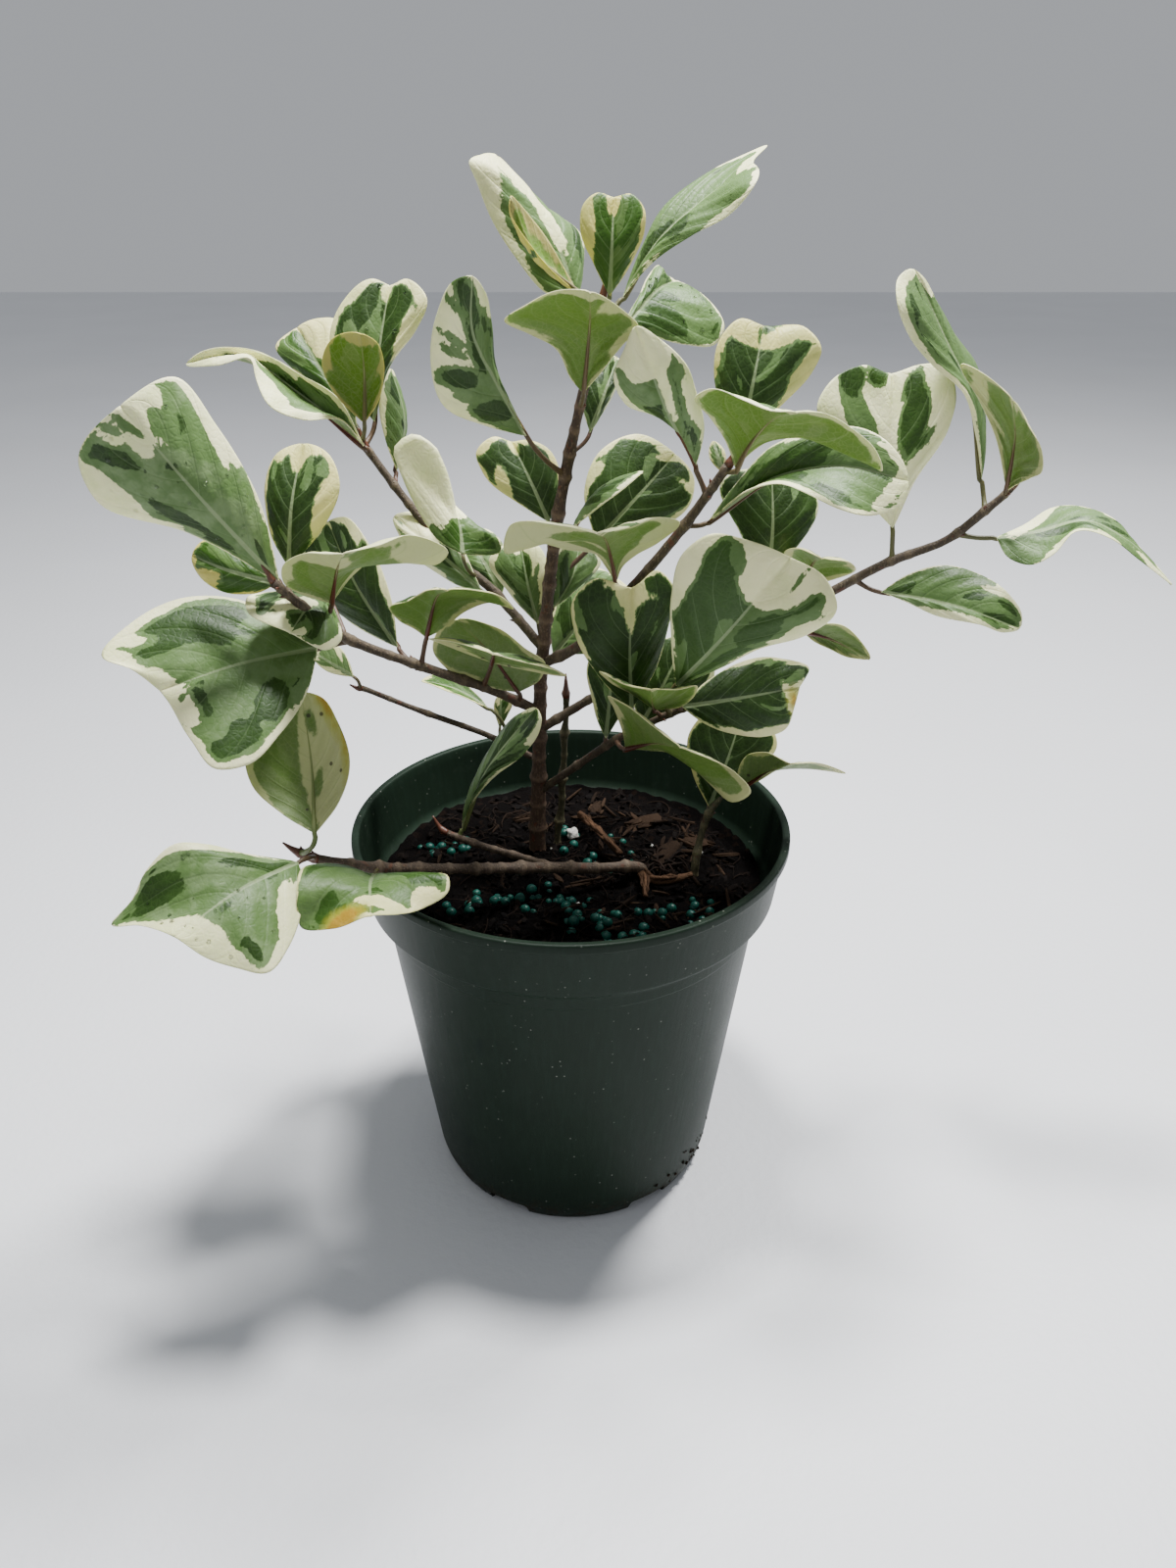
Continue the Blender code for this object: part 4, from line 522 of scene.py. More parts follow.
CREAM = (0.86, 0.85, 0.50)
PALE_CREAM = (0.70, 0.74, 0.36)
YOUNG_CREAM = (0.60, 0.51, 0.085)
DARK_GREEN = (0.013, 0.035, 0.003)
MID_GREEN = (0.030, 0.072, 0.009)
FRESH_GREEN = (0.026, 0.080, 0.001)
SAGE = (0.094, 0.168, 0.048)
PALE_SAGE = (0.190, 0.272, 0.120)
UNDER_GREEN = (0.092, 0.182, 0.010)
UNDER_SAGE = (0.130, 0.205, 0.040)
UNDER_CREAM = (0.46, 0.47, 0.23)
RIB_RED = (0.080, 0.014, 0.005)
RIB_PALE = (0.28, 0.35, 0.18)
SCORCH = (0.36, 0.19, 0.015)
RIB_GREEN = (0.20, 0.24, 0.08)
# How far each colour of light scatters in a leaf
LEAF_SCATTER = (0.8, 1.0, 0.35)
# The side veins of each half, how far they lean to the tip, and how they bend
SIDE_VEINS = 6.0
VEIN_SLANT = 0.36
VEIN_CURVE = 1.35


class Field:
    """A number or colour that a material works out at each place, to be reckoned with by plain signs."""

    def __init__(self, skin, socket):
        self.skin, self.socket = skin, socket

    def math(self, operation, *others):
        return self.skin.node("Math", self, *others, operation=operation)

    def __add__(self, other):
        return self.math("ADD", other)

    def __sub__(self, other):
        return self.math("SUBTRACT", other)

    def __rsub__(self, other):
        return self.skin.node("Math", other, self, operation="SUBTRACT")

    def __mul__(self, other):
        return self.math("MULTIPLY", other)

    def step(self, low, high):
        """0 below low, 1 above high, smooth between. High may be below low."""
        return self.skin.node("MapRange", self, low, high, interpolation_type="SMOOTHSTEP")


class Skin:
    """A Principled material, with short calls that add nodes to it."""

    def __init__(self, name, **settings):
        self.material = bpy.data.materials.new(name)
        self.material.use_nodes = True
        self.tree = self.material.node_tree
        self.shader = self.tree.nodes["Principled BSDF"]
        for key, value in settings.items():
            self.shader.inputs[key.replace("_", " ").title().replace("Ior", "IOR")].default_value = value

    def node(self, kind, *values, out=0, **settings):
        """An output of a new node. The values go in its first sockets in turn, except where one is None."""
        made = self.tree.nodes.new("ShaderNode" + kind)
        for key, value in settings.items():
            setattr(made, key, value)
        for socket, value in zip(made.inputs, values):
            if isinstance(value, Field):
                self.tree.links.new(value.socket, socket)
            elif value is not None:
                socket.default_value = value
        return Field(self, made.outputs[out])

    def mix(self, colour, *layers):
        """A colour with layers laid over it in turn, each the share that it covers and its colour."""
        for share, other in layers:
            ends = [end if isinstance(end, Field) else (*end, 1.0) for end in (colour, other)]
            colour = self.node("Mix", share, *[None] * 5, *ends, out=2, data_type="RGBA")
        return colour

    def split(self, vector):
        """The three numbers of a vector or colour."""
        parts = self.node("SeparateXYZ", vector).socket.node.outputs
        return [Field(self, part) for part in parts]

    def attribute(self, name):
        return self.split(self.node("Attribute", out="Vector", attribute_name=name))

    def place(self, stretch=(1.0, 1.0, 1.0)):
        """The place on the object in millimetres, stretched along its three ways."""
        spot = self.node("TexCoord", out="Object")
        return self.node("VectorMath", spot, [number / MM for number in stretch], operation="MULTIPLY")

    def noise(self, vector, scale, detail=2.0, roughness=0.5):
        return self.node("TexNoise", vector, None, scale, detail, roughness)

    def voronoi(self, vector, scale, **settings):
        return self.node("TexVoronoi", vector, None, scale, **settings)

    def done(self, colour, roughness, height, depth):
        """Link the colour, the roughness where it varies and the bump, whose depth is in millimetres."""
        bump = self.tree.nodes.new("ShaderNodeBump")
        bump.inputs["Distance"].default_value = depth * MM
        self.tree.links.new(height.socket, bump.inputs["Height"])
        self.tree.links.new(bump.outputs[0], self.shader.inputs["Normal"])
        self.tree.links.new(colour.socket, self.shader.inputs["Base Color"])
        if roughness:
            self.tree.links.new(roughness.socket, self.shader.inputs["Roughness"])
        return self.material


def leaf_pattern(skin):
    """What both faces of a leaf share: its fields, side veins and fine noises."""
    u, v, rib = skin.attribute("blade")
    length, seed, young = skin.attribute("reach")
    green, deep, scorch = skin.attribute("mark")
    yellow, fresh, grey = skin.attribute("tone")
    side, half = v.math("ABSOLUTE"), v.math("SIGN")
    vein = (u - side.math("POWER", VEIN_CURVE) * VEIN_SLANT) * SIDE_VEINS + half * 0.25
    shift = seed + half * 3.7
    teeth = skin.noise(skin.node("CombineXYZ", vein * 2.2, rib * 0.16, shift + 40.0), 1.0)
    fine = skin.noise(skin.node("CombineXYZ", u * length, rib * half, shift), 0.55, 3.0, 0.65)
    rough = (teeth - 0.5) * 2.4 + (fine - 0.5) * 2.0
    off_vein = ((vein + 100.0).math("FRACT") - 0.5).math("ABSOLUTE")
    return SimpleNamespace(
        u=u, side=side, rib=rib, yellow=yellow, fresh=fresh, grey=grey, young=young, green=green + rough,
        deep=deep + rough * 0.9, scorch=scorch + (fine - 0.5) * 3.0,
        from_vein=off_vein * (length.math("DIVIDE", SIDE_VEINS) * 0.8))


def scorched(skin, p, colour):
    """A leaf's colour with its scorched places over it, yellow round brown."""
    return skin.mix(colour, (p.scorch.step(-3.4, 0.6) * 0.75, (0.36, 0.34, 0.03)),
                    (p.scorch.step(-0.6, 1.8) * 0.8, SCORCH))


def upper_leaf():
    """The upper face: cream margins, two greens in patches between the side veins, and pale veins."""
    skin = Skin("leaf_upper", specular_ior_level=0.30, subsurface_weight=0.10, subsurface_scale=0.0012,
                subsurface_radius=LEAF_SCATTER)
    p, place = leaf_pattern(skin), skin.place()
    clouds, blush = skin.noise(place, 0.11, 3.0, 0.6), skin.noise(place, 0.10, 4.0, 0.6)
    mottle = skin.noise(place, 0.45, 5.0, 0.7)
    net = skin.voronoi(place, 0.5, feature="DISTANCE_TO_EDGE")
    veins = p.from_vein.step(0.26, 0.05) * (p.side.step(1.0, 0.1) * 0.26 + 0.06)
    midrib = (p.rib - (1.0 - p.u) * 0.75).step(0.35, 0.0)
    dark = skin.mix(DARK_GREEN, (clouds.step(0.60, 0.35) * 0.5, MID_GREEN), (p.fresh, FRESH_GREEN))
    green = skin.mix(SAGE, (clouds.step(0.42, 0.62) * p.grey, PALE_SAGE),
                     (p.fresh * 0.6, (0.060, 0.120, 0.016)), (p.deep.step(-0.20, 0.20), dark),
                     (mottle.step(0.45, 0.75) * 0.22, MID_GREEN),
                     (net.step(0.10, 0.0) * 0.12, SAGE), (veins, PALE_SAGE), (midrib * 0.72, RIB_PALE))
    shade = skin.mix(PALE_CREAM, (p.yellow, (0.36, 0.34, 0.07)))
    cream = skin.mix(CREAM, (p.yellow, YOUNG_CREAM), (blush.step(0.38, 0.68) * 0.7, shade),
                     (mottle.step(0.60, 0.80) * 0.18, (0.40, 0.46, 0.18)))
    colour = scorched(skin, p, skin.mix(cream, (p.green.step(-0.16, 0.16), green)))
    height = (p.from_vein.step(0.7, 0.0) * -0.5 + net.step(0.0, 0.25) * 0.30 + mottle * 0.6
              + skin.noise(place, 0.30))
    return skin.done(colour, mottle * 0.20 + 0.38, height, 0.13)


def under_leaf():
    """The underside: pale green and cream with softer borders, and a red-brown or green midrib."""
    skin = Skin("leaf_under", specular_ior_level=0.3, subsurface_weight=0.15, subsurface_scale=0.0015,
                subsurface_radius=LEAF_SCATTER)
    p, place = leaf_pattern(skin), skin.place()
    mottle = skin.noise(place, 0.4, 5.0, 0.7)
    net = skin.voronoi(place, 0.55, feature="DISTANCE_TO_EDGE")
    green = skin.mix(UNDER_SAGE, (p.deep.step(-0.6, 0.6), UNDER_GREEN),
                     (p.fresh * 0.5, (0.085, 0.140, 0.010)),
                     (p.grey * 0.45, (0.17, 0.21, 0.12)), (net.step(0.10, 0.0) * 0.10, UNDER_CREAM),
                     (mottle.step(0.45, 0.75) * 0.25, UNDER_GREEN))
    cream = skin.mix(UNDER_CREAM, (p.yellow * 0.8, (0.34, 0.28, 0.07)),
                     (mottle.step(0.5, 0.75) * 0.35, (0.36, 0.37, 0.17)))
    midrib = (p.rib - (0.8 - p.u) * 0.9).step(0.25, 0.0)
    rib = skin.mix(RIB_RED, (p.young, RIB_GREEN), (p.u.step(0.45, 0.85), (0.22, 0.25, 0.09)))
    colour = skin.mix(cream, (p.green.step(-0.5, 0.5), green),
                      (p.from_vein.step(0.28, 0.05) * 0.22, (0.26, 0.32, 0.13)), (midrib, rib))
    specks = skin.voronoi(place, 0.14).step(0.12, 0.08) * p.grey.step(0.5, 0.6)
    colour = skin.mix(scorched(skin, p, colour), (specks * 0.8, (0.035, 0.025, 0.018)))
    height = p.from_vein.step(0.6, 0.0) * 0.6 + mottle * 0.5 + net.step(0.3, 0.0) * 0.2
    return skin.done(colour, mottle * 0.16 + 0.42, height, 0.12)


def bark(name, old, young, pale, red):
    """Bark of a stem. The stem attribute holds the age from 0 at the foot to 1 at the top, and the rings."""
    skin = Skin(name)
    age, ring, _ = skin.attribute("stem")
    place = skin.place()
    streak = skin.noise(skin.place((1.0, 1.0, 0.25)), 1.4, 4.0, 0.65)
    blotch, spots = skin.noise(place, 0.28, 3.0), skin.voronoi(place, 0.75)
    colour = skin.mix(old, (age * 0.8 + (blotch - 0.5) * 0.8, young), (streak.step(0.50, 0.70) * 0.6, pale),
                      (spots.step(0.30, 0.16) * 0.45, pale), (ring * 0.5, pale),
                      (ring.step(0.35, 0.1) * blotch.step(0.6, 0.7), red))
    height = streak + spots.step(0.3, 0.1) * 0.6 + skin.noise(place, 3.0) * 0.4
    return skin.done(colour, streak * 0.3 + 0.55, height, 0.35)


def petiole_skin():
    """The leaf stalk: brown at its foot, red-brown or green under the blade, pale green where it fades."""
    skin = Skin("petiole_skin", roughness=0.5)
    _, under, young = skin.attribute("stem")
    streak = skin.noise(skin.place((1.0, 1.0, 0.3)), 1.2, 3.0, 0.6)
    rib = skin.mix(RIB_RED, (young, RIB_GREEN))
    colour = skin.mix((0.075, 0.036, 0.018), (young, (0.11, 0.15, 0.04)),
                      (streak.step(0.5, 0.75) * 0.5, (0.16, 0.10, 0.05)),
                      (under.step(0.0, 0.1), rib), (under.step(0.45, 0.9), (0.30, 0.34, 0.13)))
    return skin.done(colour, None, streak, 0.12)


def pot_plastic():
    """Dark green moulded plastic: a fine grain, flow lines, scuffs, dust specks, dirt at the foot and painted
    light near the top.
    """
    skin = Skin("pot_plastic", specular_ior_level=0.10)
    place = skin.place()
    height = skin.split(place)[2]
    grain, cloud = skin.noise(place, 3.5, 3.0, 0.6), skin.noise(place, 0.035, 4.0, 0.6)
    flow = skin.noise(skin.place((1.0, 1.0, 0.04)), 0.5, 3.0)
    dust = skin.voronoi(place, 0.33).step(0.13, 0.07) * skin.noise(place, 0.09).step(0.46, 0.60)
    # Painted light: paler green patches, more of them towards the pot's top, stand in for the overhead lamp's
    # light on the band.
    painted_top_light = skin.noise(place, 0.16, 5.0, 0.7).step(0.55, 0.8) * height.step(96.0, 140.0)
    scuff = skin.noise(skin.place((1.0, 1.0, 0.6)), 0.075, 2.0, 0.4).step(0.70, 0.76)
    dirt = skin.noise(place, 0.22, 5.0, 0.7).step(0.42, 0.66) * height.step(15.0, 1.0)
    colour = skin.mix((0.0070, 0.0142, 0.0084), (cloud, (0.0116, 0.0220, 0.0134)),
                      (flow.step(0.45, 0.7) * 0.25, (0.014, 0.028, 0.019)),
                      (dust * 0.75, (0.20, 0.21, 0.18)), (painted_top_light * 0.25, (0.045, 0.055, 0.045)),
                      (scuff * 0.7, (0.006, 0.014, 0.010)), (dirt * 0.75, (0.035, 0.024, 0.016)))
    rough = grain * 0.12 + 0.34 + cloud * 0.10 + dust * 0.3 + dirt * 0.3
    return skin.done(colour, rough, grain * 0.45 + flow * 0.6 + dust * 0.6 + dirt * 1.5, 0.12)


def potting_mix():
    """Moist mix: near-black peat with brown bark dust."""
    skin = Skin("potting_mix", specular_ior_level=0.05)
    place = skin.place()
    crumb, fine = skin.noise(place, 0.7, 5.0, 0.7), skin.noise(place, 2.2, 4.0, 0.7)
    tone = skin.split(skin.voronoi(place, 0.45, out="Color"))[0]
    colour = skin.mix((0.0006, 0.0005, 0.0006), (crumb, (0.0038, 0.0025, 0.0022)),
                      (tone.step(0.80, 0.97) * 0.6, (0.010, 0.0056, 0.0036)))
    return skin.done(colour, crumb * 0.5 + 0.6, crumb + fine * 0.6, 1.0)


def bark_bits(name, dark, light, rough):
    """Loose bits of bark or wood, each of its own tone, with a grain."""
    skin = Skin(name, roughness=rough, specular_ior_level=0.08)
    tone = skin.attribute("stem")[0]
    grain = skin.noise(skin.place((1.0, 0.35, 1.0)), 1.6, 4.0, 0.65)
    return skin.done(skin.mix(dark, (tone * 0.75 + grain * 0.4, light)), None, grain, 0.5)


def bead_skin():
    """Coated fertiliser: glossy teal with small darker and paler blotches and some dust."""
    skin = Skin("bead_skin", specular_ior_level=0.3, subsurface_weight=0.1, subsurface_scale=0.001)
    tone, place = skin.attribute("stem")[0], skin.place()
    blotch, dust = skin.noise(place, 1.3, 3.0), skin.noise(place, 2.4, 3.0)
    colour = skin.mix((0.0, 0.038, 0.028), (blotch, (0.002, 0.092, 0.064)),
                      (tone * 0.45, (0.0, 0.045, 0.035)),
                      (dust.step(0.62, 0.72) * 0.5, (0.012, 0.012, 0.010)))
    return skin.done(colour, blotch * 0.25 + 0.30, blotch, 0.12)


def two_tone(name, roughness, first, second, stretch, scale, detail, grain, depth):
    """A plain material of two colours with a noise between them, which also makes its bump."""
    skin = Skin(name, roughness=roughness)
    field = skin.noise(skin.place(stretch), scale, detail, grain)
    return skin.done(skin.mix(first, (field, second)), None, field, depth)


def water():
    skin = Skin("water", roughness=0.03, ior=1.33, transmission_weight=1.0, base_color=(1.0, 1.0, 1.0, 1.0))
    return skin.material


def floor_paint():
    """Pale painted floor with a faint unevenness."""
    skin = Skin("floor_paint", roughness=0.5)
    place = skin.place()
    colour = skin.mix((0.70, 0.71, 0.73), (skin.noise(place, 0.004, 4.0), (0.78, 0.79, 0.81)))
    return skin.done(colour, None, skin.noise(place, 0.25, 4.0), 0.3)


class Piece:
    """Collects points and faces, with slots, map places and attributes, and makes one mesh object."""

    def __init__(self):
        self.points, self.faces, self.slots, self.map, self.values = [], [], [], [], {}

    def add(self, points, faces, uvs, slot=0, **values):
        start = len(self.points)
        self.points.extend(tuple(point) for point in points)
        self.add_faces(start, faces, uvs, slot)
        for name, rows in values.items():
            held = self.values.setdefault(name, [])
            held.extend([(0.0, 0.0, 0.0)] * (start - len(held)))
            held.extend(tuple(row) for row in rows)

    def add_faces(self, start, faces, uvs, slot):
        for face, places in zip(faces, uvs):
            self.faces.append([start + index for index in face])
            self.map.extend(places)
            self.slots.append(slot)

    def add_tube(self, path, radii, sides, stem, slot=0, corner=(0.0, 0.0), size=(1.0, 1.0)):
        """Add a tube. Stem is its attribute, one row for the whole of it or one for each place."""
        rows = stem if isinstance(stem, list) else [stem] * len(path)
        rows = [row for row in rows for _ in range(sides)]
        self.add(*tube(path, radii, sides, corner, size), slot, stem=rows)

    def make(self, name, skins, nodes, smooth=True, own_map=True):
        mesh = mesh_of(name, self.points, self.faces)
        for skin in skins:
            mesh.materials.append(SKINS[skin])
        mesh.polygons.foreach_set("material_index", self.slots)
        if own_map:
            layer = mesh.uv_layers.new(name="OFBake")
            layer.data.foreach_set("uv", np.array(self.map, dtype=np.float32).ravel())
        for key, rows in self.values.items():
            rows = rows + [(0.0, 0.0, 0.0)] * (len(self.points) - len(rows))
            held = mesh.attributes.new(key, "FLOAT_VECTOR", "POINT")
            held.data.foreach_set("vector", np.array(rows, dtype=np.float32).ravel())
        mesh.polygons.foreach_set("use_smooth", [smooth] * len(self.faces))
        made = linked(name, mesh)
        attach(made, "root")
        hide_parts(*nodes)


def mesh_of(name, points, faces):
    """A mesh from points in millimetres."""
    mesh = bpy.data.meshes.new(name)
    mesh.from_pydata([tuple(c * MM for c in point) for point in points], [], faces)
    return mesh


def linked(name, data):
    """A new object in the scene."""
    made = bpy.data.objects.new(name, data)
    bpy.context.scene.collection.objects.link(made)
    return made


def run_along(path):
    """How far along a path each of its places lies."""
    return np.concatenate([[0], np.cumsum(np.linalg.norm(np.diff(path, axis=0), axis=1))])


def tube(path, radii, sides, corner, size):
    """Points, faces and map places of a round tube with closed ends. Path is rows of x, y, z."""
    path = np.array(path, dtype=float)
    ahead = np.gradient(path, axis=0)
    ahead /= np.linalg.norm(ahead, axis=1)[:, None]
    normal = np.cross(ahead[0], (0.0, 0.0, 1.0) if abs(ahead[0][2]) < 0.9 else (1.0, 0.0, 0.0))
    run = run_along(path)
    points, faces, uvs = [], [], []
    for middle, way, radius in zip(path, ahead, radii):
        normal = normal - way * normal.dot(way)
        normal /= np.linalg.norm(normal)
        other = np.cross(way, normal)
        for k, reach in enumerate(np.broadcast_to(radius, (sides,))):
            turn = 2 * math.pi * k / sides
            points.append(middle + reach * (math.cos(turn) * normal + math.sin(turn) * other))

    def spot(k, row):
        return corner[0] + size[0] * k / sides, corner[1] + size[1] * run[row] / run[-1]

    for i in range(len(path) - 1):
        for k in range(sides):
            low, high, after = i * sides, (i + 1) * sides, (k + 1) % sides
            faces.append((low + k, low + after, high + after, high + k))
            uvs.append([spot(k, i), spot(k + 1, i), spot(k + 1, i + 1), spot(k, i + 1)])
    for row, ring in ((0, range(sides - 1, -1, -1)), (len(path) - 1, range(sides))):
        faces.append([row * sides + k for k in ring])
        uvs.append([spot(0.5 * sides, row)] * sides)
    return points, faces, uvs


def deepest(ovals, place, ahead, across_way):
    """How deep each place of a blade lies in its deepest oval, in millimetres, and below 0 outside them."""
    rows, columns = place.shape[0] - 1, place.shape[1] - 1
    depth = np.full(place.shape[:2], -99.0)
    for u, v, long, wide, lean in ovals:
        column = 0.5 + 0.5 * math.copysign(1 - (1 - abs(v)) ** (1 / MARGIN_CROWDING), v)
        turn = math.radians(lean) * (1 if v >= 0 else -1)
        away = place - place[min(round(u * rows), rows), round(column * columns)]
        x, y = away @ ahead, away @ across_way
        a = x * math.cos(turn) + y * math.sin(turn)
        b = y * math.cos(turn) - x * math.sin(turn)
        depth = np.maximum(depth, (1 - np.sqrt((a / long) ** 2 + (b / wide) ** 2)) * min(long, wide) * 1.2)
    return depth


def colour_fields(one, grid):
    """The fields that a leaf's colours are cut from, in millimetres: green above cream, deep above sage
    green, and scorched."""
    look_of, place = LOOKS[one["number"]], grid.place
    base, tip = np.array(one["rib"][1]), np.array(one["rib"][-2])
    ahead = (tip - base) / np.linalg.norm(tip - base)
    way = np.cross(ahead, np.array(one["upward"]))
    middle = place[len(place) // 2]
    if (middle[-1] - middle[0]) @ way < 0:
        way = -way
    broad, patch = np.zeros(place.shape[:2]), np.zeros(place.shape[:2])
    for i, u in enumerate(grid.share):
        for j, v in enumerate(grid.across):
            side, half = abs(v), 1.0 if v >= 0 else -1.0
            vein = SIDE_VEINS * (u - VEIN_SLANT * side) + 0.25 * half
            shift = one["number"] * LEAF_SEED + 3.7 * half
            broad[i, j] = noise.noise(Vector((vein * 0.8, side * 1.2, shift)))
            patch[i, j] = (noise.noise(Vector((vein * 0.55, side * 1.6, shift + 20)))
                           + 0.45 * noise.noise(Vector((vein * 1.3, side * 3.2, shift + 40))))
    run = np.clip((grid.share + 0.1) / 0.7, 0, 1)
    run = (run * run * (3 - 2 * run))[:, None]
    if look_of["margin"] > ALL_CREAM:
        green = np.full(place.shape[:2], -3.0)
    else:
        green = grid.from_edge - look_of["margin"] * (0.05 + run) * np.clip(0.75 + 1.5 * broad, 0.12, 2.2)
    cream, spots, sage, dark, scorch = (deepest(look_of[kind], place, ahead, way)
                                        for kind in ("cream", "green", "sage", "deep", "scorch"))
    green = np.maximum(np.minimum(green, -cream), spots)
    deep = (patch - (0.42 - 0.84 * look_of["dark"])) * 9
    deep = np.maximum(np.minimum(deep, -sage), dark)
    deep = np.minimum(deep, green - 0.4 - 1.6 * (1 - look_of["dark"]))
    return tuple(np.clip(field, -FIELD_REACH, FIELD_REACH) for field in (green, deep, scorch))


def blade_grid(one, rows, columns):
    """The fine middle surface of a blade with its unit normals, and what its colours are worked out from."""
    draw = random.Random(one["number"])
    share = np.linspace(0.004, 0.996, rows + 1)
    across = np.linspace(-1, 1, columns + 1)
    across = np.sign(across) * (1 - (1 - np.abs(across)) ** MARGIN_CROWDING)
    rib, left, right = (np.array([along(one[key], u) for u in share]) for key in ("rib", "left", "right"))
    u, v = share[:, None, None], across[None, :, None]
    side = np.abs(v)
    edges = np.where(v < 0, left[:, None, :], right[:, None, :])
    crown = np.minimum(1, 4 * u * (1 - u))
    arch = 4 * side * (1 - side) * crown
    place = rib[:, None, :] * (1 - side) + edges * side + np.array(one["upward"]) * one["cup"] * arch
    length = np.linalg.norm(np.diff(rib, axis=0), axis=1).sum()
    normal = np.cross(np.gradient(place, axis=1), np.gradient(place, axis=0))
    normal /= np.maximum(np.linalg.norm(normal, axis=2), 1e-9)[:, :, None]
    from_rib = np.linalg.norm(place - rib[:, None, :], axis=2)
    outline = np.concatenate([left, right])
    from_edge = np.linalg.norm(place[:, :, None, :] - outline[None, None, :, :], axis=3).min(axis=2)
    phase = SIDE_VEINS * (u - VEIN_SLANT * side) + 0.25 * np.sign(v)
    detail = 0.22 * np.cos(2 * math.pi * phase) * arch - 0.30 * np.exp(-(from_rib / 0.9) ** 2)[:, :, None]
    for count, height in ((3.1, 0.5), (6.3, 0.28)):
        swing = np.sin(count * 2 * u + draw.uniform(0, 6.3) + 1.7 * np.sign(v))
        detail += height * swing * side ** 3 * crown
    place = place + normal * min(1.0, length / 45) * detail
    return SimpleNamespace(place=place, normal=normal, share=share, across=across, from_edge=from_edge,
                           from_rib=from_rib, length=length)


def add_blade(piece, one, grid):
    """Add a blade with its two faces and its thin rim to a leaf's piece."""
    look_of = LOOKS[one["number"]]
    rows, columns = len(grid.share) - 1, len(grid.across) - 1
    count = (rows + 1) * (columns + 1)
    u, v = np.meshgrid(grid.share, grid.across, indexing="ij")
    fields = {
        "blade": (u, v, grid.from_rib), "reach": (grid.length, one["number"] * LEAF_SEED, look_of["young"]),
        "mark": colour_fields(one, grid), "tone": look_of["tone"],
    }
    values = {}
    for key, parts in fields.items():
        table = np.stack([np.broadcast_to(part, u.shape) for part in parts], axis=-1).reshape(-1, 3)
        values[key] = np.concatenate([table, table])
    half = 0.5 * BLADE_THICKNESS * (1 - 0.6 * np.abs(grid.across) ** 8)[None, :, None]
    points = np.concatenate([(grid.place + grid.normal * half * face).reshape(-1, 3) for face in (1, -1)])

    def corner(a, b, lower=0):
        return a * (columns + 1) + b + lower * count

    def spot(a, b, lower=0):
        return 0.02 + 0.46 * (grid.across[b] + 1) / 2 + 0.49 * lower, 0.02 + 0.96 * grid.share[a]

    faces, uvs = ([], []), ([], [])
    for i in range(rows):
        for j in range(columns):
            ring = [(i, j), (i, j + 1), (i + 1, j + 1), (i + 1, j)]
            for lower in (0, 1):
                order = ring[::-1] if lower else ring
                faces[lower].append([corner(a, b, lower) for a, b in order])
                uvs[lower].append([spot(a, b, lower) for a, b in order])
    rim = [(i, 0) for i in range(rows, -1, -1)] + [(0, j) for j in range(1, columns + 1)]
    rim += [(i, columns) for i in range(1, rows + 1)] + [(rows, j) for j in range(columns - 1, -1, -1)]
    for (a, b), (c, d) in zip(rim, rim[1:]):
        faces[0].append([corner(a, b), corner(a, b, 1), corner(c, d, 1), corner(c, d)])
        first, second = spot(a, b), spot(c, d)
        x, y = second[1] - first[1], first[0] - second[0]
        out = RIM_STRIP / (math.hypot(x, y) or 1.0)
        uvs[0].append([first, (first[0] + x * out, first[1] + y * out),
                       (second[0] + x * out, second[1] + y * out), second])
    piece.add(points, faces[0], uvs[0], 0, **values)
    piece.add_faces(len(piece.points) - 2 * count, faces[1], uvs[1], 1)


def add_petiole(piece, one, grid, stems):
    """Add a leaf's stalk, which runs on under the blade as its midrib and fades out. Returns its foot."""
    base, young = one["rib"][1], LOOKS[one["number"]]["young"]
    heading = (along(one["rib"], 0.15) - base).normalized()
    places = [point.to_3d() for path in stems for point in path]
    aim = base - heading * min((point - base).length for point in places)
    start = min(places, key=lambda point: (point - aim).length)
    bend = base - heading * (start - base).length * 0.45
    thick = PETIOLE_RADIUS * min(1.0, 0.55 + grid.length / 90)
    path, radii, values = [], [], []
    for t in np.arange(PETIOLE_STEPS) / PETIOLE_STEPS:
        path.append(start.lerp(bend, t).lerp(bend.lerp(base, t), t))
        radii.append(thick * (1.25 - 0.35 * min(1.0, 3.0 * t)))
        values.append((t, 0.0, young))
    middle = grid.place.shape[1] // 2
    for i in range(int(MIDRIB_REACH * len(grid.share))):
        faded = grid.share[i] / MIDRIB_REACH
        radii.append(thick * 0.85 * max(0.12, 1 - faded) ** 1.2)
        path.append(grid.place[i, middle] - grid.normal[i, middle] * (0.12 + 0.55 * radii[-1]))
        values.append((1.0, faded, young))
    piece.add_tube(path, radii, 8, values, 2, (0.982, 0.01), (0.016, 0.98))
    return start


def make_leaf(one, node, stems):
    """One leaf with its stalk, as a piece. Returns the place where the stalk leaves its stem."""
    length = (one["rib"][-2] - one["rib"][1]).length
    one["grid"] = blade_grid(one, *((46, 32) if length > 35 else (34, 24) if length > 20 else (24, 16)))
    piece = Piece()
    add_blade(piece, one, one["grid"])
    foot = add_petiole(piece, one, one["grid"], stems)
    piece.make("leaf_%02d" % one["number"], ("upper", "under", "petiole"), [node])
    return foot


def nearest(path, place):
    return int(np.argmin(np.linalg.norm(path - np.array(place), axis=1)))


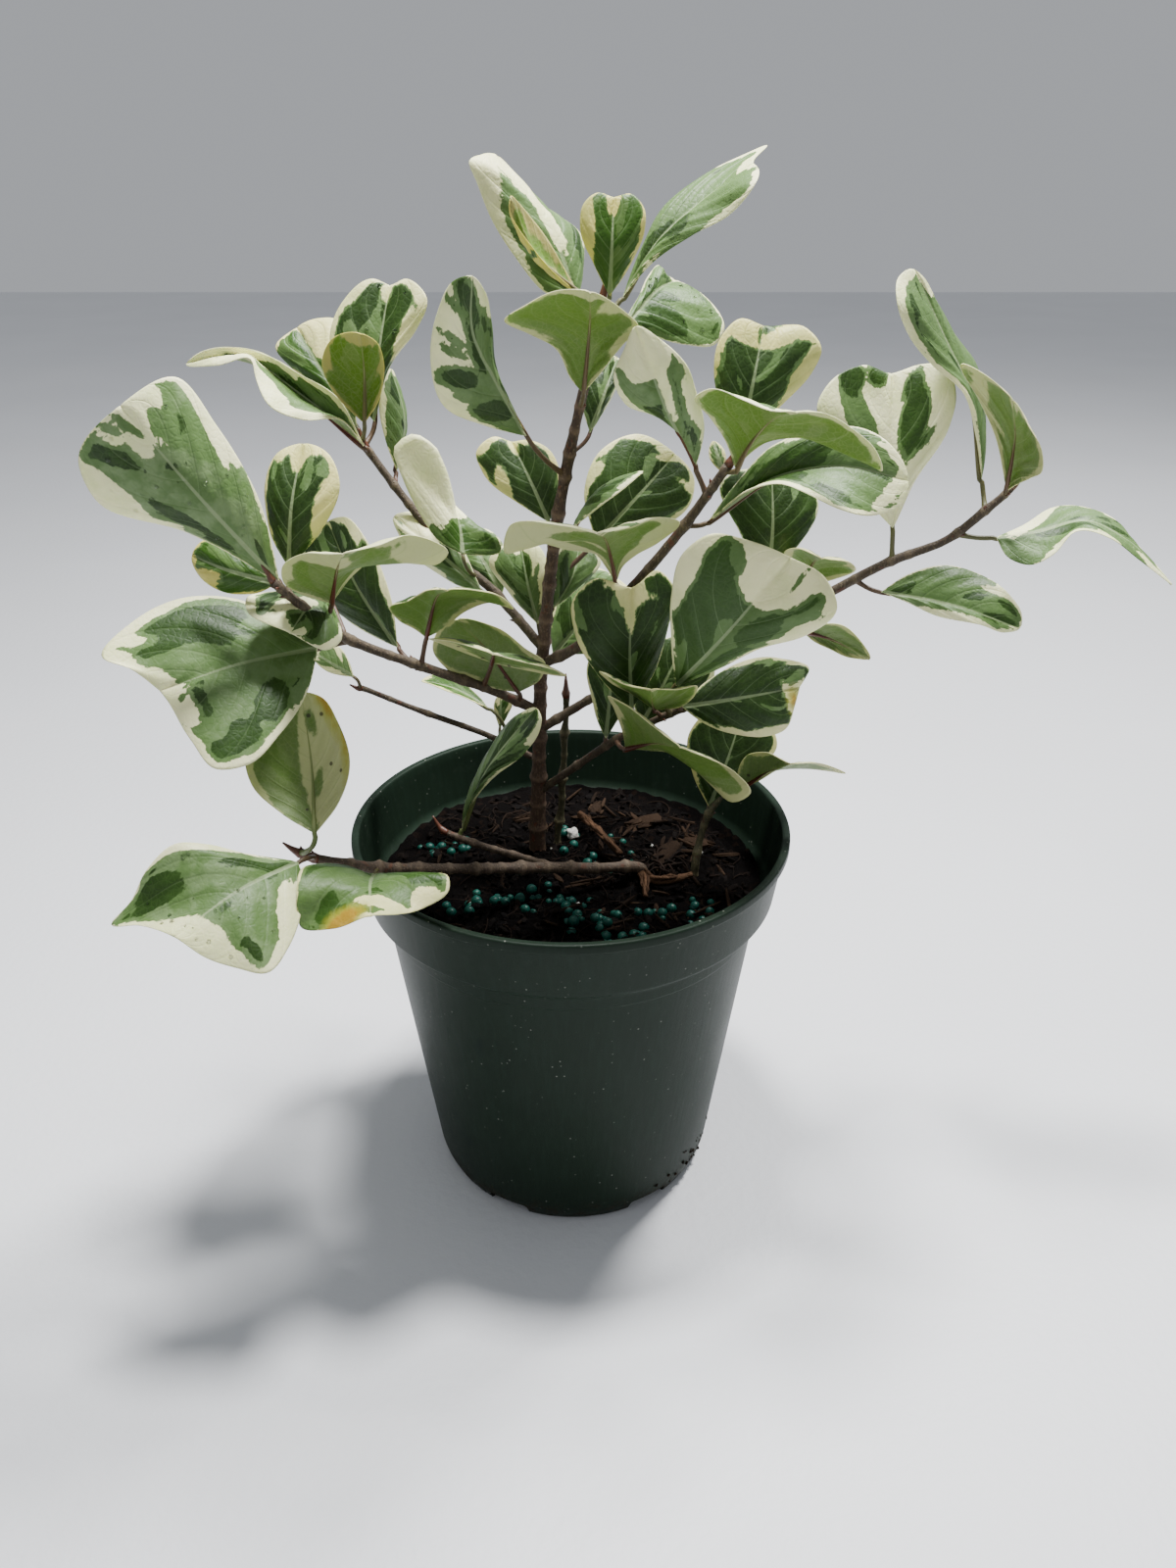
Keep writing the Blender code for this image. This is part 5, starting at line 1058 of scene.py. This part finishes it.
def stem_rows(places, spacing, feet, ring_gap, seed, bump, sides):
    """Path, radii and attribute rows of a stem, with a ring at each leaf's foot and at even gaps."""
    draw = random.Random(seed)
    rows = smooth_path(places, spacing)
    path = np.array([row[:3] for row in rows])
    run = run_along(path)
    rings = [run[nearest(path, foot)] for foot in feet]
    spot = ring_gap * 0.6
    while spot < run[-1] - 4:
        if all(abs(spot - ring) > 0.45 * ring_gap for ring in rings):
            rings.append(spot)
        spot += ring_gap * draw.uniform(0.75, 1.25)
    radii, values = [], []
    for row, here in zip(rows, run):
        swell = min(1.0, sum(math.exp(-((here - ring) / 0.9) ** 2) for ring in rings))
        knot = min(1.0, sum(math.exp(-((here - ring) / 2.6) ** 2) for ring in rings[::2]))
        lumps = (0.05 + 0.2 * bump) * noise.noise(Vector((seed, here * 0.12, 0.5)))
        turns = (2 * math.pi * k / sides for k in range(sides))
        around = [noise.noise(Vector((math.cos(a), math.sin(a), here * 0.35 + seed))) for a in turns]
        radius = row[3] * (1 + bump * (swell + knot) + lumps)
        radii.append(radius * (1 + (0.03 + 0.3 * bump) * np.array(around)))
        values.append((here / run[-1], swell, 0.0))
    return path, radii, values


def make_stem(name, places, feet, node, skin, seed, ring_gap, bump=0.16):
    """A stem with rings, side buds and a pointed bud at its end, which its last two places make."""
    path, radii, values = stem_rows(places, 0.9, feet, ring_gap, seed, bump, STEM_SIDES)
    run = run_along(path)
    cut = int(np.searchsorted(run, run[-1] - math.dist(places[-1][:3], places[-3][:3])))
    low, high = slice(0, cut + 1), slice(cut, None)
    piece = Piece()
    piece.add_tube(path[low], radii[low], STEM_SIDES, values[low], 0, (0.01, 0.01), (0.80, 0.98))
    piece.add_tube(path[high], radii[high], STEM_SIDES, values[high], 1, (0.83, 0.01), (0.15, 0.98))
    add_side_buds(piece, path, radii, feet, seed)
    piece.make(name, (skin, "bud"), [node])


def add_side_buds(piece, path, radii, feet, seed):
    """Add a small pointed bud above each leaf's foot."""
    draw = random.Random(seed + 5)
    for number, foot in enumerate(feet):
        i = nearest(path, foot)
        ahead = path[min(i + 1, len(path) - 1)] - path[max(i - 1, 0)]
        ahead /= max(np.linalg.norm(ahead), 1e-9)
        out = np.cross(ahead, (math.cos(seed + number), math.sin(seed + number), 0.3))
        out /= max(np.linalg.norm(out), 1e-9)
        start = path[i] + out * float(np.mean(radii[i])) * 0.6 + ahead * 0.4
        way = (out * 0.75 + ahead * 0.65) * draw.uniform(1.4, 2.2)
        spots, sizes = [start + way * share for share, _ in SIDE_BUD], [size for _, size in SIDE_BUD]
        corner = (0.01 + 0.97 * number / len(feet), 0.992)
        piece.add_tube(spots, sizes, 8, (0.5, 0.0, 0.0), 1, corner, (0.02, 0.006))


def lathe(profile, steps):
    """Points and faces of a turned solid whose profile runs from the axis round to the axis again."""
    rings = profile[1:-1]
    points = [(0.0, 0.0, profile[0][1])]
    for radius, height in rings:
        points += [(radius * x, radius * y, height) for x, y in circle(steps)]
    points.append((0.0, 0.0, profile[-1][1]))
    faces, top = [], 1 + (len(rings) - 1) * steps
    for k in range(steps):
        after = (k + 1) % steps
        faces.append((0, 1 + k, 1 + after))
        faces += ring_faces(len(rings) - 1, steps, k)
        faces.append((len(points) - 1, top + after, top + k))
    return points, faces


def circle(steps):
    """Evenly spaced places on a circle of radius 1."""
    turns = [2 * math.pi * k / steps for k in range(steps)]
    return [(math.cos(turn), math.sin(turn)) for turn in turns]


def ring_faces(rings, steps, k):
    """The faces of one sector between rings of points, which follow a first point in the middle."""
    after = (k + 1) % steps
    starts = [(1 + i * steps, 1 + (i + 1) * steps) for i in range(rings)]
    return [(a + k, b + k, b + after, a + after) for a, b in starts]


def rounded(corners, steps=5):
    """A profile with its corners (radius, height, rounding) turned into arcs."""
    rows = []
    for number, (x, z, fillet) in enumerate(corners):
        if number in (0, len(corners) - 1) or fillet <= 0:
            rows.append((x, z))
            continue
        here = Vector((x, z))
        back, ahead = (Vector(corners[number + step][:2]) - here for step in (-1, 1))
        reach = min(fillet, back.length * 0.45, ahead.length * 0.45)
        start, end = here + back.normalized() * reach, here + ahead.normalized() * reach
        for t in (step / steps for step in range(steps + 1)):
            rows.append(tuple(start.lerp(here, t).lerp(here.lerp(end, t), t)))
    return rows


def pot_profile():
    """The pot's section, from the floor's middle up the inside and down the outside."""
    return rounded([
        (0, FLOOR, 0), (FOOT_RADIUS - 2, FLOOR, 2), (BODY_FOOT_RADIUS - WALL, FLOOR + 5, 3),
        (BODY_TOP_RADIUS - WALL, BODY_TOP_Z, 2), (BODY_TOP_RADIUS - 0.8, BAND_FOOT_Z - 5, 2),
        (BAND_FOOT_RADIUS - WALL, BAND_FOOT_Z + 0.5, 2), (RIM_RADIUS - 3.6, POT_HEIGHT - LIP_DEPTH, 1),
        (RIM_RADIUS - 2.9, POT_HEIGHT, 1.1), (RIM_RADIUS, POT_HEIGHT, 1.0),
        (RIM_RADIUS, POT_HEIGHT - LIP_DEPTH, 0.8), (RIM_RADIUS - 1.7, POT_HEIGHT - LIP_DEPTH - 0.4, 0.5),
        (BAND_FOOT_RADIUS, BAND_FOOT_Z, 1.0), (BODY_TOP_RADIUS + 1.4, BAND_FOOT_Z - 4.0, 1.6),
        (BODY_TOP_RADIUS + 0.7, BODY_TOP_Z + 0.4, 0.4), (BODY_TOP_RADIUS, BODY_TOP_Z - 0.3, 0.4),
        (BODY_FOOT_RADIUS, BODY_FOOT_Z, 4.0), (BODY_FOOT_RADIUS - 2.4, 0.6, 2.0), (FOOT_RADIUS, 0, 0.5),
        (0, 0, 0),
    ])


def make_pot():
    """The pot as a turned shell with its drainage notches cut out."""
    pot = linked("pot_shell", mesh_of("pot_shell", *lathe(pot_profile(), POT_SIDES)))
    cutter = notch_cutter()
    hole = pot.modifiers.new("notches", "BOOLEAN")
    hole.operation = "DIFFERENCE"
    hole.object = cutter
    hole.solver = "EXACT"
    graph = bpy.context.evaluated_depsgraph_get()
    pot.data = bpy.data.meshes.new_from_object(pot.evaluated_get(graph))
    pot.modifiers.clear()
    bpy.data.objects.remove(cutter)
    pot.data.materials.clear()
    pot.data.materials.append(SKINS["pot"])
    pot.data.shade_smooth()
    pot.data.set_sharp_from_angle(angle=math.radians(38))
    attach(pot, "root")
    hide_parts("pot")


def notch_cutter():
    """Rounded blocks at the drainage notches, in one object."""
    work = bmesh.new()
    radius = (BODY_FOOT_RADIUS - 6.0 + NOTCH_REACH / 2) * MM
    for number in range(NOTCHES):
        turn = NOTCH_TURN - math.pi / 2 + number * 2 * math.pi / NOTCHES
        made = bmesh.ops.create_cube(work, size=1)["verts"]
        bmesh.ops.scale(work, vec=(NOTCH_REACH * MM, NOTCH_WIDTH * MM, 2.5 * NOTCH_HEIGHT * MM), verts=made)
        edges = list({edge for vertex in made for edge in vertex.link_edges})
        outward = [edge for edge in edges if abs(edge.verts[0].co.x - edge.verts[1].co.x) > 1e-6]
        bent = bmesh.ops.bevel(work, geom=outward, offset=1.6 * MM, segments=3, profile=0.5, affect="EDGES")
        block = {vertex for face in bent["faces"] for vertex in face.verts}
        block = list(block | {vertex for vertex in made if vertex.is_valid})
        bmesh.ops.rotate(work, cent=(0, 0, 0), matrix=Matrix.Rotation(turn, 3, "Z"), verts=block)
        bmesh.ops.translate(work, vec=(radius * math.cos(turn), radius * math.sin(turn), 0), verts=block)
    mesh = bpy.data.meshes.new("notch_cutter")
    work.to_mesh(mesh)
    work.free()
    return linked("notch_cutter", mesh)


def noise_at(x, y, level, scale):
    return noise.noise(Vector((x, y, level)) * scale)


def soil_height(x, y):
    """Height of the rough top of the soil, in millimetres."""
    rough = noise_at(x, y, 4.0, 0.09) + 0.6 * noise_at(x, y, 9.0, 0.21)
    fine = noise_at(x, y, 2.0, 0.55) + 0.5 * noise_at(x, y, 7.0, 1.3)
    return SOIL_Z + SOIL_ROUGHNESS * rough + 0.8 * fine


def make_soil():
    """The top of the potting mix as a fine crumbly disc with a skirt down the pot's wall."""
    points = [(0.0, 0.0, soil_height(0, 0))]
    for share in (i / SOIL_RINGS for i in range(1, SOIL_RINGS + 1)):
        radius = SOIL_RADIUS * share ** 0.85
        for x, y in ((radius * x, radius * y) for x, y in circle(SOIL_SIDES)):
            crumb = 1.5 * abs(noise_at(x, y, 1.0, 0.55)) + 1.1 * abs(noise_at(x, y, 6.0, 1.1))
            points.append((x, y, soil_height(x, y) + crumb + 1.2 * share ** 14))
    skirt = SOIL_RADIUS * 0.97
    points += [(skirt * x, skirt * y, SOIL_Z - 6) for x, y in circle(SOIL_SIDES)]
    faces = []
    for k in range(SOIL_SIDES):
        faces.append((0, 1 + k, 1 + (k + 1) % SOIL_SIDES))
        faces += ring_faces(SOIL_RINGS, SOIL_SIDES, k)
    faces.append([SOIL_RINGS * SOIL_SIDES + k for k in range(SOIL_SIDES, 0, -1)])
    scale = 0.45 / (SOIL_RADIUS * 1.02)
    spots = [(0.5 + scale * point[0], 0.5 + scale * point[1]) for point in points]
    piece = Piece()
    piece.add(points, faces, [[spots[i] for i in face] for face in faces])
    piece.make("soil_bed", ["soil"], ["soil"])


def clear_of_stems(x, y, reach):
    """Whether a place on the soil is clear of every stem's hole."""
    feet = [TRUNK[0]] + [STEMS[name][0] for name in ("stem_low", "stem_green", "seedling")]
    return all(math.hypot(x - foot[0], y - foot[1]) > foot[3] + reach for foot in feet)


def scattered(draw, count, reach, keep=None):
    """Places on the soil, drawn evenly over its disc."""
    places = []
    while len(places) < count:
        radius, turn = reach * math.sqrt(draw.random()), draw.uniform(0, 2 * math.pi)
        x, y = radius * math.cos(turn), radius * math.sin(turn)
        if clear_of_stems(x, y, 1.5) and (keep is None or keep(x, y)):
            places.append((x, y))
    return places


def add_chip(piece, draw, x, y, length, width, thick, turn, tilt, lift):
    """One chip: an irregular flat block with a rough top, lying on the soil."""
    tone, sheet = draw.random(), []
    for level in (0, 1):
        for ring, shrink in enumerate((1.0, 0.55)):
            for k, (c, s) in enumerate(circle(CHIP_SIDES)):
                rough = shrink * (0.78 + 0.3 * noise.noise(Vector((x + 3 * c, y + 3 * s, tone * 9))))
                height = (level - 0.5) * (1 if ring else 0.6) + 0.35 * noise.noise(Vector((k, ring, x)))
                sheet.append(Vector((0.5 * length * rough * c, 0.5 * width * rough * s, thick * height)))
    spin = Euler((*tilt, turn)).to_matrix()
    middle = Vector((x, y, soil_height(x, y) + lift * thick))
    low, low_in, high, high_in = (number * CHIP_SIDES for number in range(4))
    faces = []
    for k in range(CHIP_SIDES):
        after = (k + 1) % CHIP_SIDES
        faces += [(low + after, low + k, high + k, high + after),
                  (high + k, high_in + k, high_in + after, high + after),
                  (low_in + k, low + k, low + after, low_in + after)]
    faces += [[high_in + k for k in range(CHIP_SIDES)], [low_in + k for k in range(CHIP_SIDES)][::-1]]
    uvs = [[(draw.random(), draw.random())] * len(face) for face in faces]
    piece.add([spin @ point + middle for point in sheet], faces, uvs, stem=[(tone, 0.0, 0.0)] * len(sheet))


def make_crumbs(draw):
    """Small crumbs of bark all over the soil."""
    piece, pick = Piece(), draw.uniform
    for x, y in scattered(draw, CRUMBS, SOIL_RADIUS - 3):
        length = pick(2.0, 8.0) * (0.5 + 0.7 * draw.random())
        add_chip(piece, draw, x, y, length, length * pick(0.25, 0.7), pick(0.7, 2.0), pick(0, 6.3),
                 (pick(-0.6, 0.6), pick(-0.6, 0.6)), 0.6)
    piece.make("bark_crumbs", ["bark_crumb"], ["soil"], smooth=False, own_map=False)


def make_chips(draw):
    """The large chips of bark, each with splinters on it, and long splinters all over the soil."""
    piece, pick = Piece(), draw.uniform
    for x, y, length, width, thick, turn in BARK_CHIPS:
        turn = math.radians(turn)
        c, s = math.cos(turn), math.sin(turn)
        add_chip(piece, draw, x, y, length, width, thick, turn, (0.14, -0.1), 0.35)
        for _ in range(int(4 + width)):
            ahead, over = pick(-0.3, 0.3) * length, pick(-0.45, 0.45) * width
            add_chip(piece, draw, x + ahead * c - over * s, y + ahead * s + over * c,
                     length * pick(0.35, 0.8), pick(0.9, 2.2), pick(0.8, 1.6), turn + pick(-0.25, 0.25),
                     (pick(-0.4, 0.4), pick(-0.15, 0.15)), pick(0.6, 1.9))
    for x, y in scattered(draw, LOOSE_SPLINTERS, SOIL_RADIUS - 9, lambda x, y: x + 0.5 * y > pick(-70, 30)):
        add_chip(piece, draw, x, y, pick(7, 19), pick(0.9, 2.6), pick(0.7, 1.5), pick(0, 6.3),
                 (pick(-0.5, 0.5), pick(-0.22, 0.22)), pick(0.6, 1.6))
    piece.make("bark_chips", ["bark_chip"], ["soil"], smooth=False, own_map=False)


def make_foot_dirt():
    """Crumbs of the mix stuck to the pot low on its front right, most of them near the foot."""
    draw = random.Random(52)
    piece = Piece()
    for number in range(FOOT_CRUMBS):
        turn = math.radians(draw.gauss(-33, 9))
        height = 4.0 + abs(draw.gauss(0, 8.0))
        reach = BODY_FOOT_RADIUS + (height - BODY_FOOT_Z) * POT_SLOPE
        reach -= 0.1 if height >= BODY_FOOT_Z else 1.3
        add_ball(piece, (reach * math.cos(turn), reach * math.sin(turn), height),
                 draw.uniform(0.3, 0.8) * (1.0 if height < 14 else 0.7), draw.random(), number, 0.6)
    piece.make("foot_dirt", ["dirt"], ["pot"], own_map=False)


def make_fibres():
    """Thin curved roots and splinters over the soil, and the fibrous lump beside the stick."""
    draw = random.Random(33)
    piece = Piece()
    for x, y in scattered(draw, ROOT_FIBRES, SOIL_RADIUS - 6):
        way = draw.uniform(0, 2 * math.pi)
        length, curl = draw.uniform(6, 22), draw.uniform(-0.09, 0.09)
        path, tone = [], draw.random()
        for t in (step / 8 for step in range(9)):
            arch = 1.6 * math.sin(math.pi * t) * draw.uniform(0.4, 1.0)
            path.append((x, y, soil_height(x, y) + 0.8 + arch))
            way += curl * length / 4
            x, y = x + math.cos(way) * length / 8, y + math.sin(way) * length / 8
            if math.hypot(x, y) > SOIL_RADIUS - 2:
                break
        if len(path) >= 4:
            radius = draw.uniform(0.10, 0.26)
            piece.add_tube(path, [radius] * (len(path) - 1) + [radius * 0.3], 5, (tone, 0.0, 0.0))
    for _ in range(LUMP_FIBRES):
        x, y = ROOT_LUMP[0] + draw.gauss(0, 3.5), ROOT_LUMP[1] + draw.gauss(0, 3.0)
        way, height, path = draw.uniform(0, 6.3), draw.uniform(0.5, 4.0), []
        for step in range(8):
            path.append((x, y, soil_height(x, y) + height * math.sin(math.pi * (0.1 + 0.8 * step / 7)) + 0.3))
            way += draw.uniform(-0.7, 0.7)
            x, y = x + 1.7 * math.cos(way), y + 1.7 * math.sin(way)
        piece.add_tube(path, [draw.uniform(0.25, 0.6)] * 8, 5, (draw.random(), 0.0, 0.0))
    piece.make("root_fibres", ["root_fibre"], ["soil"], own_map=False)


def ball(radius, subdivisions=2):
    """The points and faces of a round ball."""
    work = bmesh.new()
    bmesh.ops.create_icosphere(work, subdivisions=subdivisions, radius=radius)
    work.verts.index_update()
    points = [vertex.co.copy() for vertex in work.verts]
    faces = [[vertex.index for vertex in face.verts] for face in work.faces]
    work.free()
    return points, faces


def add_ball(piece, place, radius, tone, seed, lumps=0.05, squash=1.0, subdivisions=2):
    """A slightly uneven ball."""
    start, faces = ball(radius, subdivisions)
    points = []
    for point in start:
        rough = 1 + lumps * noise.noise(point * (1.6 / radius) + Vector((seed, 0, 0)))
        points.append(Vector((point.x * rough, point.y * rough, point.z * rough * squash)) + Vector(place))
    piece.add(points, faces, [[(0.5, 0.5)] * 3] * len(faces), stem=[(tone, 0.0, 0.0)] * len(points))


def bead_places():
    """Where the beads lie: loose clusters, each drawn round its middle."""
    draw = random.Random(11)
    places = []
    for x, y, count in BEAD_CLUSTERS:
        for _ in range(count):
            place = (x + draw.uniform(-9, 9), y + draw.uniform(-5, 5))
            apart = all(math.dist(place, other) > 2.3 * BEAD_RADIUS for other in places)
            if apart and clear_of_beads(*place) and math.hypot(*place) < BODY_TOP_RADIUS - 5:
                places.append(place)
    return places


def clear_of_beads(x, y):
    """Whether a bead's place is clear of the stems and of the stick."""
    stick = smooth_path([(*place, STICK_RADIUS) for place in STICK], 4)
    return clear_of_stems(x, y, 4.5) and all(math.hypot(x - place[0], y - place[1]) > 4.5 for place in stick)


def make_beads():
    """The fertiliser beads, in clusters and loose, and the bits of perlite."""
    draw = random.Random(5)
    piece = Piece()
    for number, (x, y) in enumerate(bead_places()):
        add_ball(piece, (x, y, soil_height(x, y) + 0.55 * BEAD_RADIUS), BEAD_RADIUS * draw.uniform(0.9, 1.04),
                 draw.random(), number)
    for number in range(LOOSE_BEADS):
        x, y, _ = draw.choice(BEAD_CLUSTERS)
        x, y = x + draw.gauss(0, 7.5), y + draw.gauss(0, 5)
        if math.hypot(x, y) < BODY_TOP_RADIUS - 6 and clear_of_beads(x, y):
            radius = BEAD_RADIUS * draw.uniform(0.55, 0.95)
            place = (x, y, soil_height(x, y) + draw.uniform(0.1, 0.6) * radius)
            add_ball(piece, place, radius, draw.random(), number)
    piece.make("fertiliser_beads", ["bead"], ["soil"], own_map=False)
    piece = Piece()
    add_ball(piece, (0, 28, 129.0), 2.6, 0.1, 3, 0.5, 0.8, 3)
    for x, y in scattered(draw, PERLITE_BITS, SOIL_RADIUS - 8):
        add_ball(piece, (x, y, soil_height(x, y) + 0.4), draw.uniform(0.4, 0.9), 0.2, x, 0.5)
    piece.make("perlite", ["perlite"], ["soil"], own_map=False)


def add_split_wood(piece, places, draw, seed, bump, sides, grooves, tone, count, **patch):
    """Add a grooved core with splinters that run along it and end at uneven places."""
    path, radii, _ = stem_rows(places, 0.8, [], 30.0, seed, bump, sides)
    smallest, depth, around, ahead, level = grooves
    for i, radius in enumerate(radii):
        rough = [noise.noise(Vector((k * around, i * ahead, level))) for k in range(sides)]
        radius *= smallest + depth * np.array(rough)
    piece.add_tube(path, radii, sides, (tone, 0.0, 0.0), **patch)
    third, radius = len(path) // 3, places[0][3]
    for number in range(count):
        turn = draw.uniform(0, 2 * math.pi)
        out = Vector((math.cos(turn) * 0.9, math.sin(turn) * 0.4, abs(math.sin(turn)))) * radius * 0.75
        start, end = draw.randint(0, third), draw.randint(2 * len(path) // 3, len(path))
        rows = [Vector(place) + out * (1 + 0.3 * math.sin(0.4 * i + turn))
                for i, place in enumerate(path[start:end])]
        tapers = [min(1.0, 0.25 + 0.3 * i, 0.15 + 0.3 * (len(rows) - 1 - i)) for i in range(len(rows))]
        sizes = [radius * draw.uniform(0.22, 0.45) * taper for taper in tapers]
        piece.add_tube(rows, sizes, 6, (draw.uniform(0.1, 1.0), 0.0, 0.0), 0,
                       (0.52 + 0.46 * number / count, 0.01), (0.4 / count, 0.98))


def make_split_wood():
    """The loose stick, and the low stem's split end with its two broken forks."""
    piece = Piece()
    places = [(*place, STICK_RADIUS) for place in STICK]
    add_split_wood(piece, places, random.Random(41), 9, 0.1, 16, (0.82, 0.5, 1.7, 0.06, 2), 0.35, 9,
                   corner=(0.01, 0.01), size=(0.48, 0.98))
    piece.make("split_stick", ["split_wood"], ["stick"])
    piece, draw = Piece(), random.Random(43)
    for places in BROKEN_FORKS:
        add_split_wood(piece, places, draw, 12, 0.2, 12, (0.85, 0.6, 1.9, 0.09, 5), 0.55, 4)
    piece.make("broken_forks", ["split_wood"], ["stem_low"], own_map=False)


def make_drops(leaves):
    """Water drops on the upper faces of some leaves."""
    draw = random.Random(8)
    piece = Piece()
    for number, count, reach in DROPS:
        grid = leaves[number]["grid"]
        for _ in range(count):
            i = int(draw.uniform(*reach) * 46)
            j = int(draw.uniform(0.12, 0.88) * 32)
            points, faces = ball(draw.uniform(0.3, 0.85))
            normal = Vector(grid.normal[i, j])
            lean = normal.to_track_quat("Z", "Y")
            top = Vector(grid.place[i, j]) + normal * (0.5 * BLADE_THICKNESS)
            points = [top + lean @ Vector((point.x, point.y, point.z * 0.55)) for point in points]
            piece.add(points, faces, [[(0.5, 0.5)] * 3] * len(faces))
    piece.make("water_drops", ["water"], ["branch_left"], own_map=False)


def make_plant():
    """Every stem with its leaves, and the drops on them."""
    by_number = {}
    for node, leaves in LEAVES.items():
        places = TRUNK if node == "trunk_crown" else STEMS[node]
        paths = [smooth_path(places, 2.0)]
        if node == "stem_low":
            paths.append(smooth_path(LOW_TWIG, 2.0))
        feet = []
        for one in leaves:
            by_number[one["number"]] = one
            feet.append(make_leaf(one, node, paths))
        style = STEM_SKINS.get(node, ("young_bark", len(node) + 3, 13.0, 0.14))
        make_stem(node + "_stem", places, feet, node, *style)
    make_stem("low_twig", LOW_TWIG, [], "stem_low", "old_bark", 31, 8.0)
    make_stem("green_stem", STEMS["stem_green"], [], "stem_green", "green_bark", 17, 9.0, 0.3)
    make_drops(by_number)


def make_studio():
    """The floor, the lamps and the pale room round them."""
    corners = [(x * FLOOR_REACH, y * FLOOR_REACH, 0) for x, y in ((-1, -1), (1, -1), (1, 1), (-1, 1))]
    mesh = bpy.data.meshes.new("floor")
    mesh.from_pydata(corners, [], [(0, 1, 2, 3)])
    mesh.materials.append(floor_paint())
    ground = linked("floor", mesh)
    for name, (place, size, power) in LAMPS.items():
        data = bpy.data.lights.new(name, "AREA")
        data.shape = "DISK"
        data.size = size
        data.energy = power
        made = linked(name, data)
        made.location = place
        made.rotation_euler = (Vector(LAMP_AIM) - Vector(place)).to_track_quat("-Z", "Y").to_euler()
    world = bpy.data.worlds.new("pale_room")
    world.use_nodes = True
    world.node_tree.nodes["Background"].inputs["Color"].default_value = ROOM_COLOUR
    world.node_tree.nodes["Background"].inputs["Strength"].default_value = ROOM_STRENGTH
    bpy.context.scene.world = world


def make_camera():
    data = bpy.data.cameras.new("camera")
    data.sensor_width = SENSOR_WIDTH
    data.lens = FOCAL_PIXELS / IMAGE_HEIGHT * SENSOR_WIDTH
    made = linked("camera", data)
    made.location = CAMERA_PLACE
    made.rotation_euler = (math.radians(90 - CAMERA_PITCH), 0, 0)
    bpy.context.scene.camera = made


def make_litter():
    """The crumbs and the chips, which share one row of random draws."""
    draw = random.Random(21)
    make_crumbs(draw)
    make_chips(draw)


BARKS = {
    "young_bark": ((0.058, 0.039, 0.021), (0.038, 0.024, 0.012), (0.150, 0.112, 0.064), (0.08, 0.026, 0.011)),
    "old_bark": ((0.070, 0.045, 0.027), (0.045, 0.027, 0.016), (0.19, 0.135, 0.085), (0.09, 0.032, 0.014)),
    "trunk_bark": ((0.090, 0.050, 0.030), (0.024, 0.012, 0.007), (0.23, 0.150, 0.095), (0.12, 0.038, 0.018)),
    "green_bark": ((0.060, 0.050, 0.022), (0.050, 0.056, 0.022), (0.17, 0.14, 0.07), (0.07, 0.035, 0.014)),
}
BITS = {
    "bark_crumb": ((0.0006, 0.0005, 0.0006), (0.0056, 0.0034, 0.0025), 0.8),
    "dirt": ((0.0020, 0.0014, 0.0011), (0.030, 0.018, 0.011), 0.9),
    "bark_chip": ((0.0020, 0.0014, 0.0011), (0.036, 0.021, 0.0125), 0.85),
    "root_fibre": ((0.0018, 0.0013, 0.0011), (0.020, 0.0120, 0.0080), 0.75),
    "split_wood": ((0.016, 0.008, 0.005), (0.115, 0.062, 0.034), 0.75),
}
SKINS = {
    "upper": upper_leaf(), "under": under_leaf(), "petiole": petiole_skin(), "pot": pot_plastic(),
    "soil": potting_mix(), "bead": bead_skin(), "water": water(),
    "bud": two_tone("bud_skin", 0.42, (0.045, 0.013, 0.008), (0.13, 0.042, 0.018), (1.0, 1.0, 0.2),
                    2.0, 3.0, 0.5, 0.1),
    "perlite": two_tone("perlite", 0.8, (0.30, 0.28, 0.24), (0.85, 0.84, 0.80), (1.0, 1.0, 1.0),
                        1.6, 5.0, 0.7, 0.6),
}
SKINS.update((name, bark(name, *colours)) for name, colours in BARKS.items())
SKINS.update((name, bark_bits(name, *settings)) for name, settings in BITS.items())
# The bark, seed, gap between rings and depth of the knots of the stems that aren't like the rest
STEM_SKINS = {"trunk_crown": ("trunk_bark", 14, 10.0, 0.14), "stem_low": ("old_bark", 11, 10.0, 0.24),
              "seedling": ("green_bark", 11, 9.0, 0.16)}

for make in (make_pot, make_soil, make_litter, make_foot_dirt, make_fibres, make_beads, make_split_wood,
             make_plant, make_studio, make_camera):
    make()
